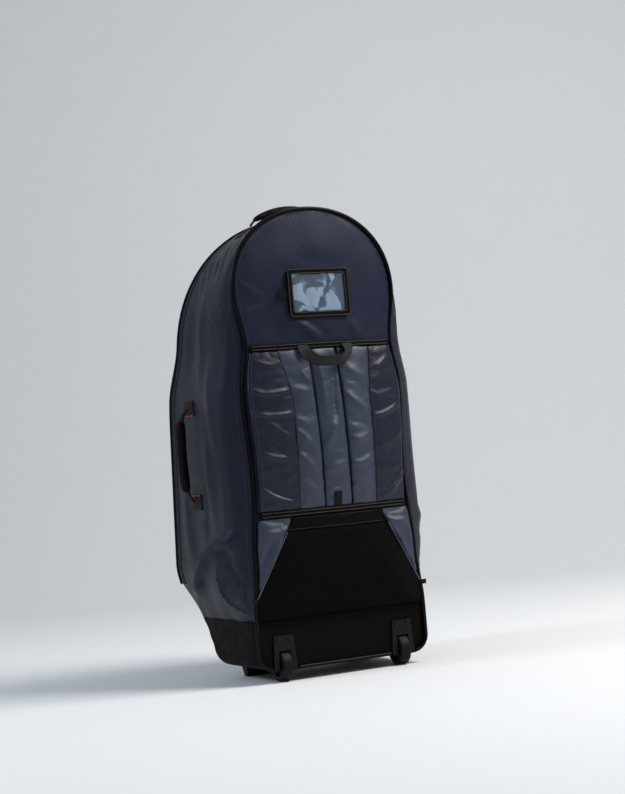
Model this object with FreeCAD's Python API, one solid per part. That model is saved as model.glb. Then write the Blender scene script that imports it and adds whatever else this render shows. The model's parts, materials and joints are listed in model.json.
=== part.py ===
"""Wheeled snow-gear travel bag: an arched, padded fabric bag that stands upright on a moulded base.

Millimetres. +Z is up, +X is the wearer's side to side, and the back panel with the harness faces -Y.
Every sub-part is written to parts/NODE.step.
"""

import FreeCAD
import Part

import os
from dataclasses import dataclass
from math import atan2, cos, degrees, pi, sin, sqrt

V = FreeCAD.Vector

# ---------------------------------------------------------------- clearances
GAP = 0.3                # soft layers and loose pieces that lie on each other
JOINT_GAP = 0.6          # fabric edges that part when the door opens
RUNNING = 0.05           # radial, axle in its bearings

# ---------------------------------------------------------------- body
BACK_Y = -139.0          # plane of the back panel's seam
WALL = 4.0               # gusset: shell fabric, foam and lining
BASE_BOTTOM = 27.0       # underside of the base above the ground
BASE_HEIGHT = 103.0      # base cover, up to its seam
BASE_CORNER_R = 34.0     # lower corners of the base, seen from behind
DOME_EXPONENT = 2.15     # superellipse of the arched top
ARCH_STEPS = 6           # points on each half of the arch
SEAM_Z = BASE_BOTTOM + BASE_HEIGHT
HIP_RISE = 120.0         # from the base seam to the start of the straight sides
SIDE_RUN = 350.0         # straight, flat length of the sides
HIP_Z = SEAM_Z + HIP_RISE
MID_Z = HIP_Z + SIDE_RUN
SIDE_HALF = 230.0        # half width of the filled bag
BASE_FLARE = 6.0         # the base is this much wider on each side than the back seam
BULGE_DEPTH = 55.0       # from the back seam to where the sides are full
BULGE_STATION = 0.4      # share of that depth at which the rounding is measured
BULGE_SHARE = 0.72       # share of the swelling reached there
SHOULDER_HALF = 215.0    # half width where the arch of the body starts
SHOULDER_RISE = 120.0    # from the straight sides to the arch of the body
BODY_TOP = 975.0
CROWN_DROP = 12.0        # the body's top falls this much towards the front

# back seam outline
SEAM_BASE_HALF = 197.0
BASE_HALF = SEAM_BASE_HALF + BASE_FLARE
SEAM_HIP_HALF = 187.0
SEAM_LOIN_HALF = 177.0
SEAM_MID_HALF = 184.0
SEAM_WAIST_HALF = 171.0
SEAM_DOME_HALF = 186.0
SEAM_TOP = 981.0
SEAM_DOME_Z = 806.0
WAIST_Z = 704.0
LOIN_Z = 385.0

# side profile of the front, depths measured from the back seam
TOE_DEPTH = 212.0
CHIN_DEPTH = 229.0
CHIN_Z = 72.0
FOOT_DEPTH = 331.0
FOOT_Z = 204.0
KNEE_DEPTH = 295.0
KNEE_Z = 545.0
SHOULDER_DEPTH = 250.0
SHOULDER_PROFILE_Z = 728.0
BROW_DEPTH = 190.0
BROW_Z = 897.0
CROWN_DEPTH = 133.0
CROWN_Z = 985.0
FRONT_SHEET = 5.0        # front panel, measured along Y
FLANGE = 22.0            # depth of the door's border, measured along Y
TAPE = 2.7               # width of each zip tape
TAPE_THICK = 1.6

# ---------------------------------------------------------------- back panel
CROWN_RISE = 24.0        # the back panel stands this far out of its seam plane
PANEL_THICK = 3.0
FOAM_THICK = 6.0
BOARD_THICK = 2.5
CROWN_SWEEP = 24.0       # degrees to each side, past the seam
LOWER_RISE = 4.0         # how far the panel still stands out at the base seam
LOWER_CURVE = 205.0      # height over which the panel flattens towards the base
LOWER_BELLY = 3.5        # how far that stretch bows out between its ends
PIPING_OUT = 4.0         # piping outside and inside of the seam line
PIPING_DEEP = 7.0
DOOR_PIPING = 3.0

# harness
LOW_BAND_Z = 346.0
HIGH_BAND_Z = 691.0
BAND_HEIGHT = 13.0
BAND_THICK = 7.0
PAD_EDGE = 6.0           # pad thickness at the bands
PAD_CROWN = 20.0         # pad thickness halfway between the bands
HARNESS_MARGIN = 7.0     # harness inside of the seam line
SEAM_OFFSET = 95.0       # stitched line between pad and shoulder strap
STITCH_TURN = 99.0       # the stitched line turns outwards this far below the upper band
STITCH_SPREAD = 12.0     # and by this much
SLIT_OFFSET = 32.0       # slit between shoulder strap and spine sleeve
SLIT = 1.4
TAB_WIDTH = 18.0
TAB_HEIGHT = 30.0
TAB_THICK = 2.5

# lumbar pad
LUMBAR_TOP_HALF = 100.0
LUMBAR_MOUTH_DROP = 38.0
LUMBAR_MOUTH_HALF = 118.0
LUMBAR_CORNER_Z = 172.0
LUMBAR_EDGE = 6.0
LUMBAR_CROWN = 12.0
LUMBAR_BAND_EDGE = 3.5
ANCHOR_WIDTH = 16.0
ANCHOR_HEIGHT = 16.0
ANCHOR_THICK = 4.0

# identification window
ID_WIDTH = 143.0
ID_HEIGHT = 102.0
ID_BORDER = 12.0
ID_Z = 801.0
ID_THICK = 4.6
PANE_THICK = 0.8
CARD_THICK = 0.8
CARD_MARGIN = 4.0
ID_TAB_WIDTH = 20.0
ID_TAB_REACH = 21.0

# grab loop
LOOP_HALF = 51.0         # centre of each leg
LOOP_WEB = 24.0
LOOP_THICK = 2.6
LOOP_DROP = 44.0         # centre line of its lowest stretch below its hinge line
LOOP_CORNER_R = 26.0
LOOP_TILT = 24.0         # degrees away from the panel

# top handle
TOP_HANDLE_DEPTH = 87.0  # hinge line behind the back seam
TOP_HANDLE_HALF = 92.0
TOP_HANDLE_WEB = 30.0
TOP_LEG_R = 2.5
TOP_LEG_GRIP_R = 5.0
TOP_GRIP_HALF = 58.0
TOP_GRIP_THICK = 12.0
TOP_GRIP_WIDTH = 32.0
TOP_FINGER_GAP = 14.0
PATCH_THICK = 2.5
TOP_PATCH_LENGTH = 44.0

# side handles
SIDE_HANDLE_Z = 483.0
SIDE_HANDLE_DEPTH = 176.0
SIDE_PATCH_SPACING = 200.0
SIDE_PATCH_HEIGHT = 34.0
SIDE_PATCH_WIDTH = 50.0
SIDE_GRIP_LENGTH = 128.0
SIDE_GRIP_R = 11.0
SIDE_LEG_R = 3.0
SIDE_LEG_GRIP_R = 8.0
SIDE_FINGER_GAP = 15.0

# wheels and housings
WHEEL_R = 33.0
WHEEL_WIDTH = 24.0
WHEEL_X = 139.0
WHEEL_DEPTH = 15.0       # axle behind the back seam
TYRE_THICK = 7.5
TYRE_SHOULDER_R = 4.5
HUB_RIM = 3.75           # ring of the hub under the tyre
HUB_COLLAR = 2.5         # ring of the hub round the bearing
HUB_DISH = 6.0           # depth of the hollow in each face of the hub
BEARING_R = 11.0
BEARING_WIDTH = 7.0
AXLE_R = 4.0
AXLE_HEAD_R = 6.5
AXLE_HEAD = 2.5
WHEEL_SIDE_GAP = 1.5
WHEEL_RIM_GAP = 4.0
HOUSING_WALL = 4.0
HOUSING_HEIGHT = 54.0
HOUSING_PLATE_HALF = 27.0
HOUSING_PLATE_TOP_HALF = 22.0
HOUSING_PLATE_TOP = 97.0
HOUSING_PLATE_THICK = 4.5
HOUSING_PLATE_LIP = 4.0
SLOT_TOP = 55.0
SCREW_R = 2.0
SCREW_HEAD_R = 4.0
SCREW_HEAD = 2.2
SCREW_LENGTH = 10.0
SCREW_INSET = 9.0

# base
COVER_THICK = 3.0
TRAY_THICK = 2.5
TRAY_HEIGHT = 72.0
FOOT_PAD_X = 120.0
FOOT_PAD_SIZE = (64.0, 26.0)
FOOT_PAD_DEPTH = 186.0
FOOT_TAPER = 4.0

# stays and inner straps
STAY_X = 95.0
STAY_WIDTH = 15.0
STAY_THICK = 3.0
STAY_LENGTH = 457.0
TIE_WIDTH = 25.0
TIE_THICK = 2.0
TIE_HALF = 112.0
TIE_HEIGHTS = (300.0, 620.0)

# zip sliders
SLIDER_Z = (430.0, 475.0)
SLIDER_LENGTH = 12.0
SLIDER_WIDTH = 9.0
SLIDER_THICK = 4.0
PULLER_LENGTH = 34.0
PULLER_WIDTH = 7.0
PULLER_THICK = 2.0
PULLER_PIN_R = 1.0
PULLER_PIN_GAP = 0.1
PULLER_KNUCKLE_R = 2.4
EAR_WIDTH = 1.4

FAR = 400.0              # reaches past the whole bag

# ---------------------------------------------------------------- worked-out places
CROWN_R = (SEAM_DOME_HALF ** 2 + CROWN_RISE ** 2) / (2.0 * CROWN_RISE)
CROWN_AXIS_Y = BACK_Y - CROWN_RISE + CROWN_R
PANEL_Y = BACK_Y - CROWN_RISE                       # outermost line of the back panel
WHEEL_Y = BACK_Y + WHEEL_DEPTH
WHEEL_Z = WHEEL_R
TOP_HANDLE_Y = BACK_Y + TOP_HANDLE_DEPTH
SIDE_HANDLE_Y = BACK_Y + SIDE_HANDLE_DEPTH
HINGE_Y = BACK_Y + FOOT_DEPTH
HIGH_BAND_LOW = HIGH_BAND_Z - BAND_HEIGHT / 2.0
LOW_BAND_HIGH = LOW_BAND_Z + BAND_HEIGHT / 2.0
LOW_BAND_LOW = LOW_BAND_Z - BAND_HEIGHT / 2.0


@dataclass(frozen=True)
class Outline:
    """Arched outline of the bag in a plane of constant Y."""

    base: float
    hip: float
    loin: float
    mid: float
    waist: float
    dome: float
    dome_z: float
    top: float
    waist_z: float


SEAM_OUTLINE = Outline(SEAM_BASE_HALF, SEAM_HIP_HALF, SEAM_LOIN_HALF, SEAM_MID_HALF,
                       SEAM_WAIST_HALF, SEAM_DOME_HALF, SEAM_DOME_Z, SEAM_TOP, WAIST_Z)
BODY_OUTLINE = Outline(BASE_HALF, SIDE_HALF, SIDE_HALF, SIDE_HALF,
                       (SIDE_HALF + SHOULDER_HALF) / 2.0, SHOULDER_HALF, MID_Z + SHOULDER_RISE,
                       BODY_TOP, MID_Z + SHOULDER_RISE / 2.0)


# ---------------------------------------------------------------- small helpers
def box(x0, x1, y0, y1, z0, z1):
    """Box between two corners."""
    return Part.makeBox(x1 - x0, y1 - y0, z1 - z0, V(x0, y0, z0))


def slab(z0, z1):
    """Everything between two heights."""
    return box(-FAR, FAR, -FAR, FAR, z0, z1)


def mirrored(shape):
    """The same piece on the other side of the bag."""
    return shape.mirror(V(0, 0, 0), V(1, 0, 0))


def both(shape):
    """A piece and its mirror image, as two solids of one node."""
    return Part.makeCompound([shape, mirrored(shape)])


def line(a, b):
    """Straight edge."""
    return Part.LineSegment(a, b).toShape()


def arc(a, b, c):
    """Arc edge through three points."""
    return Part.Arc(a, b, c).toShape()


def curve(points, start, end):
    """Interpolated edge with given end tangents."""
    spline = Part.BSplineCurve()
    spline.interpolate(Points=points, InitialTangent=start, FinalTangent=end)
    return spline.toShape()


def prism_y(points, y0, y1):
    """Polygon of (x, z) points extruded along Y."""
    corners = [V(x, y0, z) for x, z in points]
    wire = Part.makePolygon(corners + corners[:1])
    return Part.Face(wire).extrude(V(0, y1 - y0, 0))


def cylinder_x(radius, x0, x1, y, z):
    """Cylinder lying along X."""
    return Part.makeCylinder(radius, x1 - x0, V(x0, y, z), V(1, 0, 0))


# ---------------------------------------------------------------- body surfaces
def outline_wire(shape, y, inset=0.0):
    """Closed arched outline, moved inwards by inset: lines, two tangent curves and a superellipse."""
    up = V(0, 0, 1)
    half_base = shape.base - inset
    low = BASE_BOTTOM + inset
    radius = BASE_CORNER_R - inset
    knuckle = radius * (1.0 - cos(pi / 4.0))
    dome = shape.dome - inset
    rise = shape.top - inset - shape.dome_z

    def dome_point(turn):
        share = cos(turn) ** DOME_EXPONENT + sin(turn) ** DOME_EXPONENT
        reach = share ** (-1.0 / DOME_EXPONENT)
        return V(dome * reach * cos(turn), y, shape.dome_z + rise * reach * sin(turn))

    crest = V(0, y, shape.dome_z + rise)
    arch = [dome_point(pi / 2.0 * step / ARCH_STEPS) for step in range(ARCH_STEPS)] + [crest]
    base_top = V(half_base, y, SEAM_Z)
    hip = V(shape.hip - inset, y, HIP_Z)
    loin = V(shape.loin - inset, y, LOIN_Z)
    mid = V(shape.mid - inset, y, MID_Z)
    waist = V(shape.waist - inset, y, shape.waist_z)
    corner_low = V(half_base - radius, y, low)
    corner_high = V(half_base, y, low + radius)
    corner_mid = V(half_base - knuckle, y, low + knuckle)
    flank = line(hip, mid) if shape.loin == shape.hip else curve([hip, loin, mid], up, up)
    right = [
        arc(corner_low, corner_mid, corner_high),
        line(corner_high, base_top),
        curve([base_top, hip], up, up),
        flank,
        curve([mid, waist, arch[0]], up, up),
        curve(arch, up, V(-1, 0, 0)),
    ]
    left = [mirrored(edge) for edge in reversed(right)]
    floor = line(V(-corner_low.x, y, low), corner_low)
    return Part.Wire(Part.__sortEdges__([floor] + right + left))


def body_volume(inset, y_from, y_to):
    """The filled bag as a ruled loft, before its front is shaped; open-ended where it is used as a bore."""
    full_y = BACK_Y + BULGE_DEPTH
    part_y = BACK_Y + BULGE_DEPTH * BULGE_STATION
    mixed = Outline(*[a + (b - a) * BULGE_SHARE for a, b in zip(
        (SEAM_OUTLINE.base, SEAM_OUTLINE.hip, SEAM_OUTLINE.loin, SEAM_OUTLINE.mid, SEAM_OUTLINE.waist,
         SEAM_OUTLINE.dome, SEAM_OUTLINE.dome_z, SEAM_OUTLINE.top, SEAM_OUTLINE.waist_z),
        (BODY_OUTLINE.base, BODY_OUTLINE.hip, BODY_OUTLINE.loin, BODY_OUTLINE.mid, BODY_OUTLINE.waist,
         BODY_OUTLINE.dome, BODY_OUTLINE.dome_z, BODY_OUTLINE.top, BODY_OUTLINE.waist_z))])
    front = Outline(BODY_OUTLINE.base, BODY_OUTLINE.hip, BODY_OUTLINE.loin, BODY_OUTLINE.mid,
                    BODY_OUTLINE.waist, BODY_OUTLINE.dome, BODY_OUTLINE.dome_z,
                    BODY_OUTLINE.top - CROWN_DROP, BODY_OUTLINE.waist_z)
    stations = [(SEAM_OUTLINE, BACK_Y), (mixed, part_y), (BODY_OUTLINE, full_y),
                (front, BACK_Y + FOOT_DEPTH + FLANGE)]
    if y_from < BACK_Y:
        stations.insert(0, (SEAM_OUTLINE, y_from))
    return Part.makeLoft([outline_wire(shape, y, inset) for shape, y in stations], True, True)


def front_prism(upper_shift, lower_shift):
    """Everything behind the front, in side profile, with the front moved back along Y by the shifts."""
    def low(depth, z):
        return V(-FAR, BACK_Y + depth - lower_shift, z)

    def high(depth, z):
        return V(-FAR, BACK_Y + depth - upper_shift, z)

    toe_floor = low(TOE_DEPTH, 0.0)
    toe = low(TOE_DEPTH, BASE_BOTTOM)
    chin = low(CHIN_DEPTH, CHIN_Z)
    foot_low = low(FOOT_DEPTH, FOOT_Z)
    foot = high(FOOT_DEPTH, FOOT_Z)
    knee = high(KNEE_DEPTH, KNEE_Z)
    rise = knee - foot
    shoulder = high(SHOULDER_DEPTH, SHOULDER_PROFILE_Z)
    brow = high(BROW_DEPTH, BROW_Z)
    crown = high(CROWN_DEPTH, CROWN_Z)
    edges = [line(toe_floor, toe), line(toe, chin), line(chin, foot_low)]
    if (foot - foot_low).Length > 1e-6:
        edges.append(line(foot_low, foot))
    edges.append(line(foot, knee))
    edges.append(curve([knee, shoulder, brow, crown], rise, crown - brow))
    crown_up = V(-FAR, crown.y, CROWN_Z + FLANGE)
    back_up = V(-FAR, -FAR, CROWN_Z + FLANGE)
    back_low = V(-FAR, -FAR, 0.0)
    edges += [line(crown, crown_up), line(crown_up, back_up), line(back_up, back_low),
              line(back_low, toe_floor)]
    return Part.Face(Part.Wire(edges)).extrude(V(2.0 * FAR, 0, 0))


# ---------------------------------------------------------------- back panel surfaces
def crown_profile(offset, bulge_low, bulge_high, bulge):
    """Closed (radius, height) face of the panel crown; between two heights it can bulge as an arc."""
    radius = CROWN_R + offset
    axis = CROWN_AXIS_Y

    def at(r, z):
        return V(0, axis - r, z)

    top_angle = (SEAM_TOP + BAND_HEIGHT - SEAM_DOME_Z) / radius
    top = at(radius * cos(top_angle), SEAM_DOME_Z + radius * sin(top_angle))
    half_way = at(radius * cos(top_angle / 2.0), SEAM_DOME_Z + radius * sin(top_angle / 2.0))
    start = at(radius, SEAM_DOME_Z)
    if bulge > 0.0:
        low = at(radius, bulge_low)
        high = at(radius, bulge_high)
        peak = at(radius + bulge, (bulge_low + bulge_high) / 2.0)
        outer = [arc(low, peak, high)]
        inner_low = V(0, BACK_Y + FAR / 4.0, bulge_low)
        inner_high = V(0, BACK_Y + FAR / 4.0, bulge_high)
        edges = [line(inner_low, low)] + outer + [line(high, inner_high), line(inner_high, inner_low)]
    else:
        low = at(radius, 0.0)
        inner_low = V(0, BACK_Y + FAR / 4.0, 0.0)
        inner_high = V(0, BACK_Y + FAR / 4.0, top.z)
        edges = [line(inner_low, low), line(low, start), arc(start, half_way, top),
                 line(top, inner_high), line(inner_high, inner_low)]
    return Part.Face(Part.Wire(edges))


def lower_limit(offset):
    """Side profile that flattens the panel towards the base, as an arc, and leans clear of the panel above it."""
    full_z = SEAM_Z + LOWER_CURVE
    y_full = PANEL_Y - offset
    drop = CROWN_RISE - LOWER_RISE
    low = V(-FAR, y_full + drop, SEAM_Z)
    middle = V(-FAR, y_full + drop / 2.0 - LOWER_BELLY, (SEAM_Z + full_z) / 2.0)
    full = V(-FAR, y_full, full_z)
    clear = V(-FAR, y_full - CROWN_RISE, SEAM_TOP + FAR)
    corners = [clear, V(-FAR, FAR, SEAM_TOP + FAR), V(-FAR, FAR, 0.0), V(-FAR, low.y, 0.0), low]
    edges = [arc(low, middle, full), line(full, clear)]
    edges += [line(a, b) for a, b in zip(corners, corners[1:])]
    return Part.Face(Part.Wire(edges)).extrude(V(2.0 * FAR, 0, 0))


def crown_body(offset, bulge_low=0.0, bulge_high=0.0, bulge=0.0):
    """Solid under the crowned back surface, offset outwards; pads add an arched bulge between two heights."""
    face = crown_profile(offset, bulge_low, bulge_high, bulge)
    start = V(0, CROWN_AXIS_Y, 0)
    turned = face.copy()
    turned.rotate(start, V(0, 0, 1), -CROWN_SWEEP)
    solid = turned.revolve(start, V(0, 0, 1), 2.0 * CROWN_SWEEP)
    return solid.common(lower_limit(offset + bulge))


def seam_prism(inset, z0, z1):
    """Inside of the back seam outline between two heights, as a prism along Y."""
    face = Part.Face(outline_wire(SEAM_OUTLINE, BACK_Y - FAR / 4.0, inset))
    return face.extrude(V(0, FAR / 2.0, 0)).common(slab(z0, z1))


def layer(inner, outer, inset, z0, z1):
    """Sheet that follows the back panel between two offsets."""
    return crown_body(outer).cut(crown_body(inner)).common(seam_prism(inset, z0, z1))


# ---------------------------------------------------------------- shell
def shell_parts():
    """Gussets, front, door border, zip tapes and piping, cut from one hollow body."""
    outer = body_volume(0.0, BACK_Y, FAR)
    bore = body_volume(WALL, BACK_Y - WALL, FAR)
    tube = outer.cut(bore)
    flange_back = FLANGE
    tape_door_back = FLANGE + TAPE
    tape_body_front = tape_door_back + JOINT_GAP
    tape_body_back = tape_body_front + TAPE
    above_seam = slab(SEAM_Z, CROWN_Z + FAR)
    door_zone = slab(FOOT_Z + JOINT_GAP, CROWN_Z + FAR)
    front_outer = front_prism(0.0, 0.0)
    front_inner = front_prism(FRONT_SHEET, FRONT_SHEET)

    gusset_limit = front_prism(tape_body_back, FRONT_SHEET)
    gusset = tube.common(gusset_limit).common(above_seam)
    arch_z = MID_Z + SHOULDER_RISE
    sides = gusset.common(slab(SEAM_Z, arch_z))
    parts = {
        "left_side_gusset": sides.common(box(-FAR, 0, -FAR, FAR, 0, FAR * 3)),
        "right_side_gusset": sides.common(box(0, FAR, -FAR, FAR, 0, FAR * 3)),
        "top_gusset": gusset.common(slab(arch_z, CROWN_Z + FAR)),
    }

    sheet = outer.common(front_outer).cut(front_inner)
    parts["lower_front_panel"] = sheet.common(slab(SEAM_Z, FOOT_Z))
    door_sheet = bore.common(front_outer).cut(front_inner).common(door_zone)
    parts["door_panel"] = door_sheet
    border = tube.common(front_outer).cut(front_prism(flange_back, flange_back)).common(door_zone)
    parts["door_border"] = border

    skin = outer.cut(body_volume(TAPE_THICK, BACK_Y - WALL, FAR))
    door_tape = skin.common(front_prism(flange_back, flange_back)).cut(
        front_prism(tape_door_back, tape_door_back)).common(door_zone)
    body_tape = skin.common(front_prism(tape_body_front, tape_body_front)).cut(
        front_prism(tape_body_back, tape_body_back)).common(door_zone)
    parts["door_zip_tape"] = door_tape
    parts["body_zip_tape"] = body_tape

    rim = body_volume(-DOOR_PIPING, BACK_Y, FAR).cut(outer)
    welt = rim.common(front_prism(0.0, 0.0)).cut(front_prism(2.0 * DOOR_PIPING, 2.0 * DOOR_PIPING))
    parts["door_piping"] = welt.common(door_zone)
    return parts, outer


def back_piping():
    """Covered cord along the whole back seam."""
    out_wire = outline_wire(SEAM_OUTLINE, BACK_Y, -PIPING_OUT)
    in_wire = outline_wire(SEAM_OUTLINE, BACK_Y, PIPING_OUT)
    ring = Part.Face(out_wire).cut(Part.Face(in_wire)).extrude(V(0, -PIPING_DEEP, 0))
    notch_half = HOUSING_PLATE_HALF + GAP
    notch = box(WHEEL_X - notch_half, WHEEL_X + notch_half, -FAR, FAR, 0.0, BASE_BOTTOM + BASE_CORNER_R)
    return {"back_piping": ring.cut(both(notch))}


def back_layers():
    """Panel, foam and stiffener board of the back, from outside to inside, and how deep the board lies."""
    inset = PIPING_OUT + GAP
    seat = SEAM_Z + GAP
    high = SEAM_TOP + FAR
    foam_out = -(PANEL_THICK + GAP)
    foam_in = foam_out - FOAM_THICK
    board_out = foam_in - GAP
    board_in = board_out - BOARD_THICK
    inner_inset = WALL + PANEL_THICK
    return {
        "back_panel": layer(-PANEL_THICK, 0.0, inset, seat, high),
        "back_foam": layer(foam_in, foam_out, inner_inset, seat, high),
        "back_board": layer(board_in, board_out, inner_inset, seat, high),
    }, board_in


# ---------------------------------------------------------------- harness
def harness_prisms():
    """Outlines of the harness pieces between the two bands, as (x, z) polygons of the right-hand half."""
    low = LOW_BAND_HIGH + GAP
    high = HIGH_BAND_LOW - GAP
    kink = high - STITCH_TURN
    half = SLIT / 2.0
    seam_high = SEAM_OFFSET + STITCH_SPREAD
    return {
        "shoulder_strap": [(SLIT_OFFSET + half, low), (SEAM_OFFSET - half, low), (SEAM_OFFSET - half, kink),
                           (seam_high - half, high), (SLIT_OFFSET + half, high)],
        "back_pad": [(SEAM_OFFSET + half, low), (FAR, low), (FAR, high), (seam_high + half, high),
                     (SEAM_OFFSET + half, kink)],
    }


def harness_parts():
    """Pads, stowed shoulder straps, spine sleeve and the two bands that hold them."""
    low = LOW_BAND_HIGH + GAP
    high = HIGH_BAND_LOW - GAP
    inset = PIPING_OUT + HARNESS_MARGIN
    padding = crown_body(PAD_EDGE, low, high, PAD_CROWN - PAD_EDGE).cut(crown_body(GAP))
    padding = padding.common(seam_prism(inset, low, high))
    parts = {}
    for name, polygon in harness_prisms().items():
        piece = padding.common(prism_y(polygon, -FAR, FAR))
        parts["right_" + name] = piece
        parts["left_" + name] = mirrored(piece)
    sleeve_half = SLIT_OFFSET - SLIT / 2.0
    sleeve = padding.common(box(-sleeve_half, sleeve_half, -FAR, FAR, low, high))
    tab_box = box(-TAB_WIDTH / 2.0, TAB_WIDTH / 2.0, -FAR, FAR, low, low + TAB_HEIGHT)
    tab = crown_body(PAD_EDGE + TAB_THICK + GAP, low, high, PAD_CROWN - PAD_EDGE)
    tab = tab.cut(crown_body(PAD_EDGE + GAP, low, high, PAD_CROWN - PAD_EDGE)).common(tab_box)
    parts["spine_sleeve"] = sleeve
    parts["spine_tab"] = tab
    band = layer(GAP, BAND_THICK, inset, LOW_BAND_LOW, HIGH_BAND_Z + BAND_HEIGHT / 2.0)
    parts["upper_harness_band"] = band.common(slab(HIGH_BAND_LOW, HIGH_BAND_Z + BAND_HEIGHT))
    parts["lower_harness_band"] = band.common(slab(LOW_BAND_LOW, LOW_BAND_HIGH))
    return parts


def lumbar_parts():
    """Mesh lumbar pad with its top band, the fabric wings beside it and the strap anchors at its corners."""
    low = SEAM_Z + GAP
    high = LOW_BAND_LOW - GAP
    mouth = LOW_BAND_Z - LUMBAR_MOUTH_DROP
    inset = PIPING_OUT + GAP
    solid = crown_body(LUMBAR_EDGE, low, high, LUMBAR_CROWN - LUMBAR_EDGE).cut(crown_body(GAP))
    solid = solid.common(seam_prism(inset, low, high))
    half = SLIT / 2.0
    corner = SEAM_BASE_HALF - PIPING_OUT
    mesh = [(-FAR, low), (FAR, low), (FAR, LUMBAR_CORNER_Z), (corner, LUMBAR_CORNER_Z),
            (LUMBAR_MOUTH_HALF, mouth), (-LUMBAR_MOUTH_HALF, mouth), (-corner, LUMBAR_CORNER_Z),
            (-FAR, LUMBAR_CORNER_Z)]
    wing = [(LUMBAR_TOP_HALF + SLIT, high), (FAR, high), (FAR, LUMBAR_CORNER_Z + SLIT),
            (corner + half, LUMBAR_CORNER_Z + SLIT), (LUMBAR_MOUTH_HALF + SLIT, mouth)]
    band = [(-LUMBAR_TOP_HALF, high), (LUMBAR_TOP_HALF, high), (LUMBAR_MOUTH_HALF, mouth + GAP),
            (-LUMBAR_MOUTH_HALF, mouth + GAP)]
    right_wing = solid.common(prism_y(wing, -FAR, FAR))
    thin = crown_body(LUMBAR_BAND_EDGE, low, high, LUMBAR_CROWN - LUMBAR_EDGE).cut(crown_body(GAP))
    thin = thin.common(seam_prism(inset, low, high))
    anchor_y = BACK_Y - PIPING_DEEP
    anchor_low = LUMBAR_CORNER_Z - ANCHOR_HEIGHT / 2.0
    anchor = box(corner + GAP, corner + ANCHOR_WIDTH, anchor_y - ANCHOR_THICK - GAP,
                 anchor_y - GAP, anchor_low, anchor_low + ANCHOR_HEIGHT)
    return {
        "lumbar_mesh_pad": solid.common(prism_y(mesh, -FAR, FAR)),
        "lumbar_band": thin.common(prism_y(band, -FAR, FAR)),
        "right_lumbar_wing": right_wing,
        "left_lumbar_wing": mirrored(right_wing),
        "strap_anchors": both(anchor),
    }


# ---------------------------------------------------------------- identification window
def id_window_parts():
    """Bound window frame, clear pane, and a blank card on a pull tab that slides out at the side."""
    half_w = ID_WIDTH / 2.0
    half_h = ID_HEIGHT / 2.0
    face_y = PANEL_Y - ID_THICK
    low = ID_Z - half_h
    high = ID_Z + half_h
    block = box(-half_w, half_w, face_y, BACK_Y, low, high).cut(crown_body(GAP))
    inner_w = half_w - ID_BORDER
    inner_h = half_h - ID_BORDER
    card_half_h = inner_h + CARD_MARGIN
    card_y = PANEL_Y - GAP
    card_front = card_y - CARD_THICK
    pane_back = card_front - GAP
    pane_front = pane_back - PANE_THICK
    card_low = ID_Z - card_half_h
    card_high = ID_Z + card_half_h
    window = box(-inner_w, inner_w, -FAR, FAR, ID_Z - inner_h, ID_Z + inner_h)
    card_path = box(-FAR, inner_w + CARD_MARGIN + GAP, card_front - GAP, BACK_Y, card_low - GAP,
                    card_high + GAP)
    pane_seat = box(-inner_w - CARD_MARGIN, inner_w + CARD_MARGIN, pane_front, pane_back,
                    card_low, card_high)
    frame = block.cut(window).cut(card_path).cut(pane_seat)
    card = box(-inner_w - CARD_MARGIN, inner_w + CARD_MARGIN, card_front, card_y, card_low, card_high)
    tab = box(-half_w - ID_TAB_REACH, -inner_w, card_front, card_y,
              ID_Z - ID_TAB_WIDTH / 2.0, ID_Z + ID_TAB_WIDTH / 2.0)
    return {
        "id_window_frame": frame,
        "id_window_pane": pane_seat,
        "id_card": card.fuse(tab).removeSplitter(),
    }


# ---------------------------------------------------------------- handles
def grab_loop():
    """Flat webbing loop that hangs from the upper band, tilted away from the panel."""
    half = LOOP_WEB / 2.0
    outer_x = LOOP_HALF + half
    inner_x = LOOP_HALF - half
    outer_low = -LOOP_DROP - half
    inner_low = -LOOP_DROP + half
    reach_out = LOOP_CORNER_R + half
    reach_in = LOOP_CORNER_R - half
    bend = 1.0 - cos(pi / 4.0)

    def bow(x, low, radius):
        centre_high = V(x, 0, low + radius)
        middle = V(x - radius * bend, 0, low + radius * bend)
        return [line(V(x, 0, 0), centre_high), arc(centre_high, middle, V(x - radius, 0, low))]

    outer = bow(outer_x, outer_low, reach_out)
    inner = bow(inner_x, inner_low, reach_in)
    outer_all = outer + [mirrored(edge) for edge in outer]
    inner_all = inner + [mirrored(edge) for edge in inner]
    outer_all.append(line(V(outer_x - reach_out, 0, outer_low), V(reach_out - outer_x, 0, outer_low)))
    inner_all.append(line(V(inner_x - reach_in, 0, inner_low), V(reach_in - inner_x, 0, inner_low)))
    ends = [line(V(inner_x, 0, 0), V(outer_x, 0, 0)), line(V(-outer_x, 0, 0), V(-inner_x, 0, 0))]
    wire = Part.Wire(Part.__sortEdges__(outer_all + inner_all + ends))
    band = Part.Face(wire).extrude(V(0, -LOOP_THICK, 0))
    band.translate(V(0, LOOP_THICK / 2.0, 0))
    band.rotate(V(0, 0, 0), V(1, 0, 0), -LOOP_TILT)
    band_face_y = CROWN_AXIS_Y - sqrt((CROWN_R + BAND_THICK) ** 2 - inner_x ** 2)
    band.translate(V(0, band_face_y - LOOP_THICK / 2.0 - GAP, HIGH_BAND_Z))
    return {"grab_loop": band}


def arch_height(x):
    """Height of the body's top at the top handle, from its superellipse."""
    forward = (TOP_HANDLE_DEPTH - BULGE_DEPTH) / (FOOT_DEPTH + FLANGE - BULGE_DEPTH)
    rise = BODY_TOP - CROWN_DROP * forward - BODY_OUTLINE.dome_z
    share = (abs(x) / BODY_OUTLINE.dome) ** DOME_EXPONENT
    return BODY_OUTLINE.dome_z + rise * (1.0 - share) ** (1.0 / DOME_EXPONENT)


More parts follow.
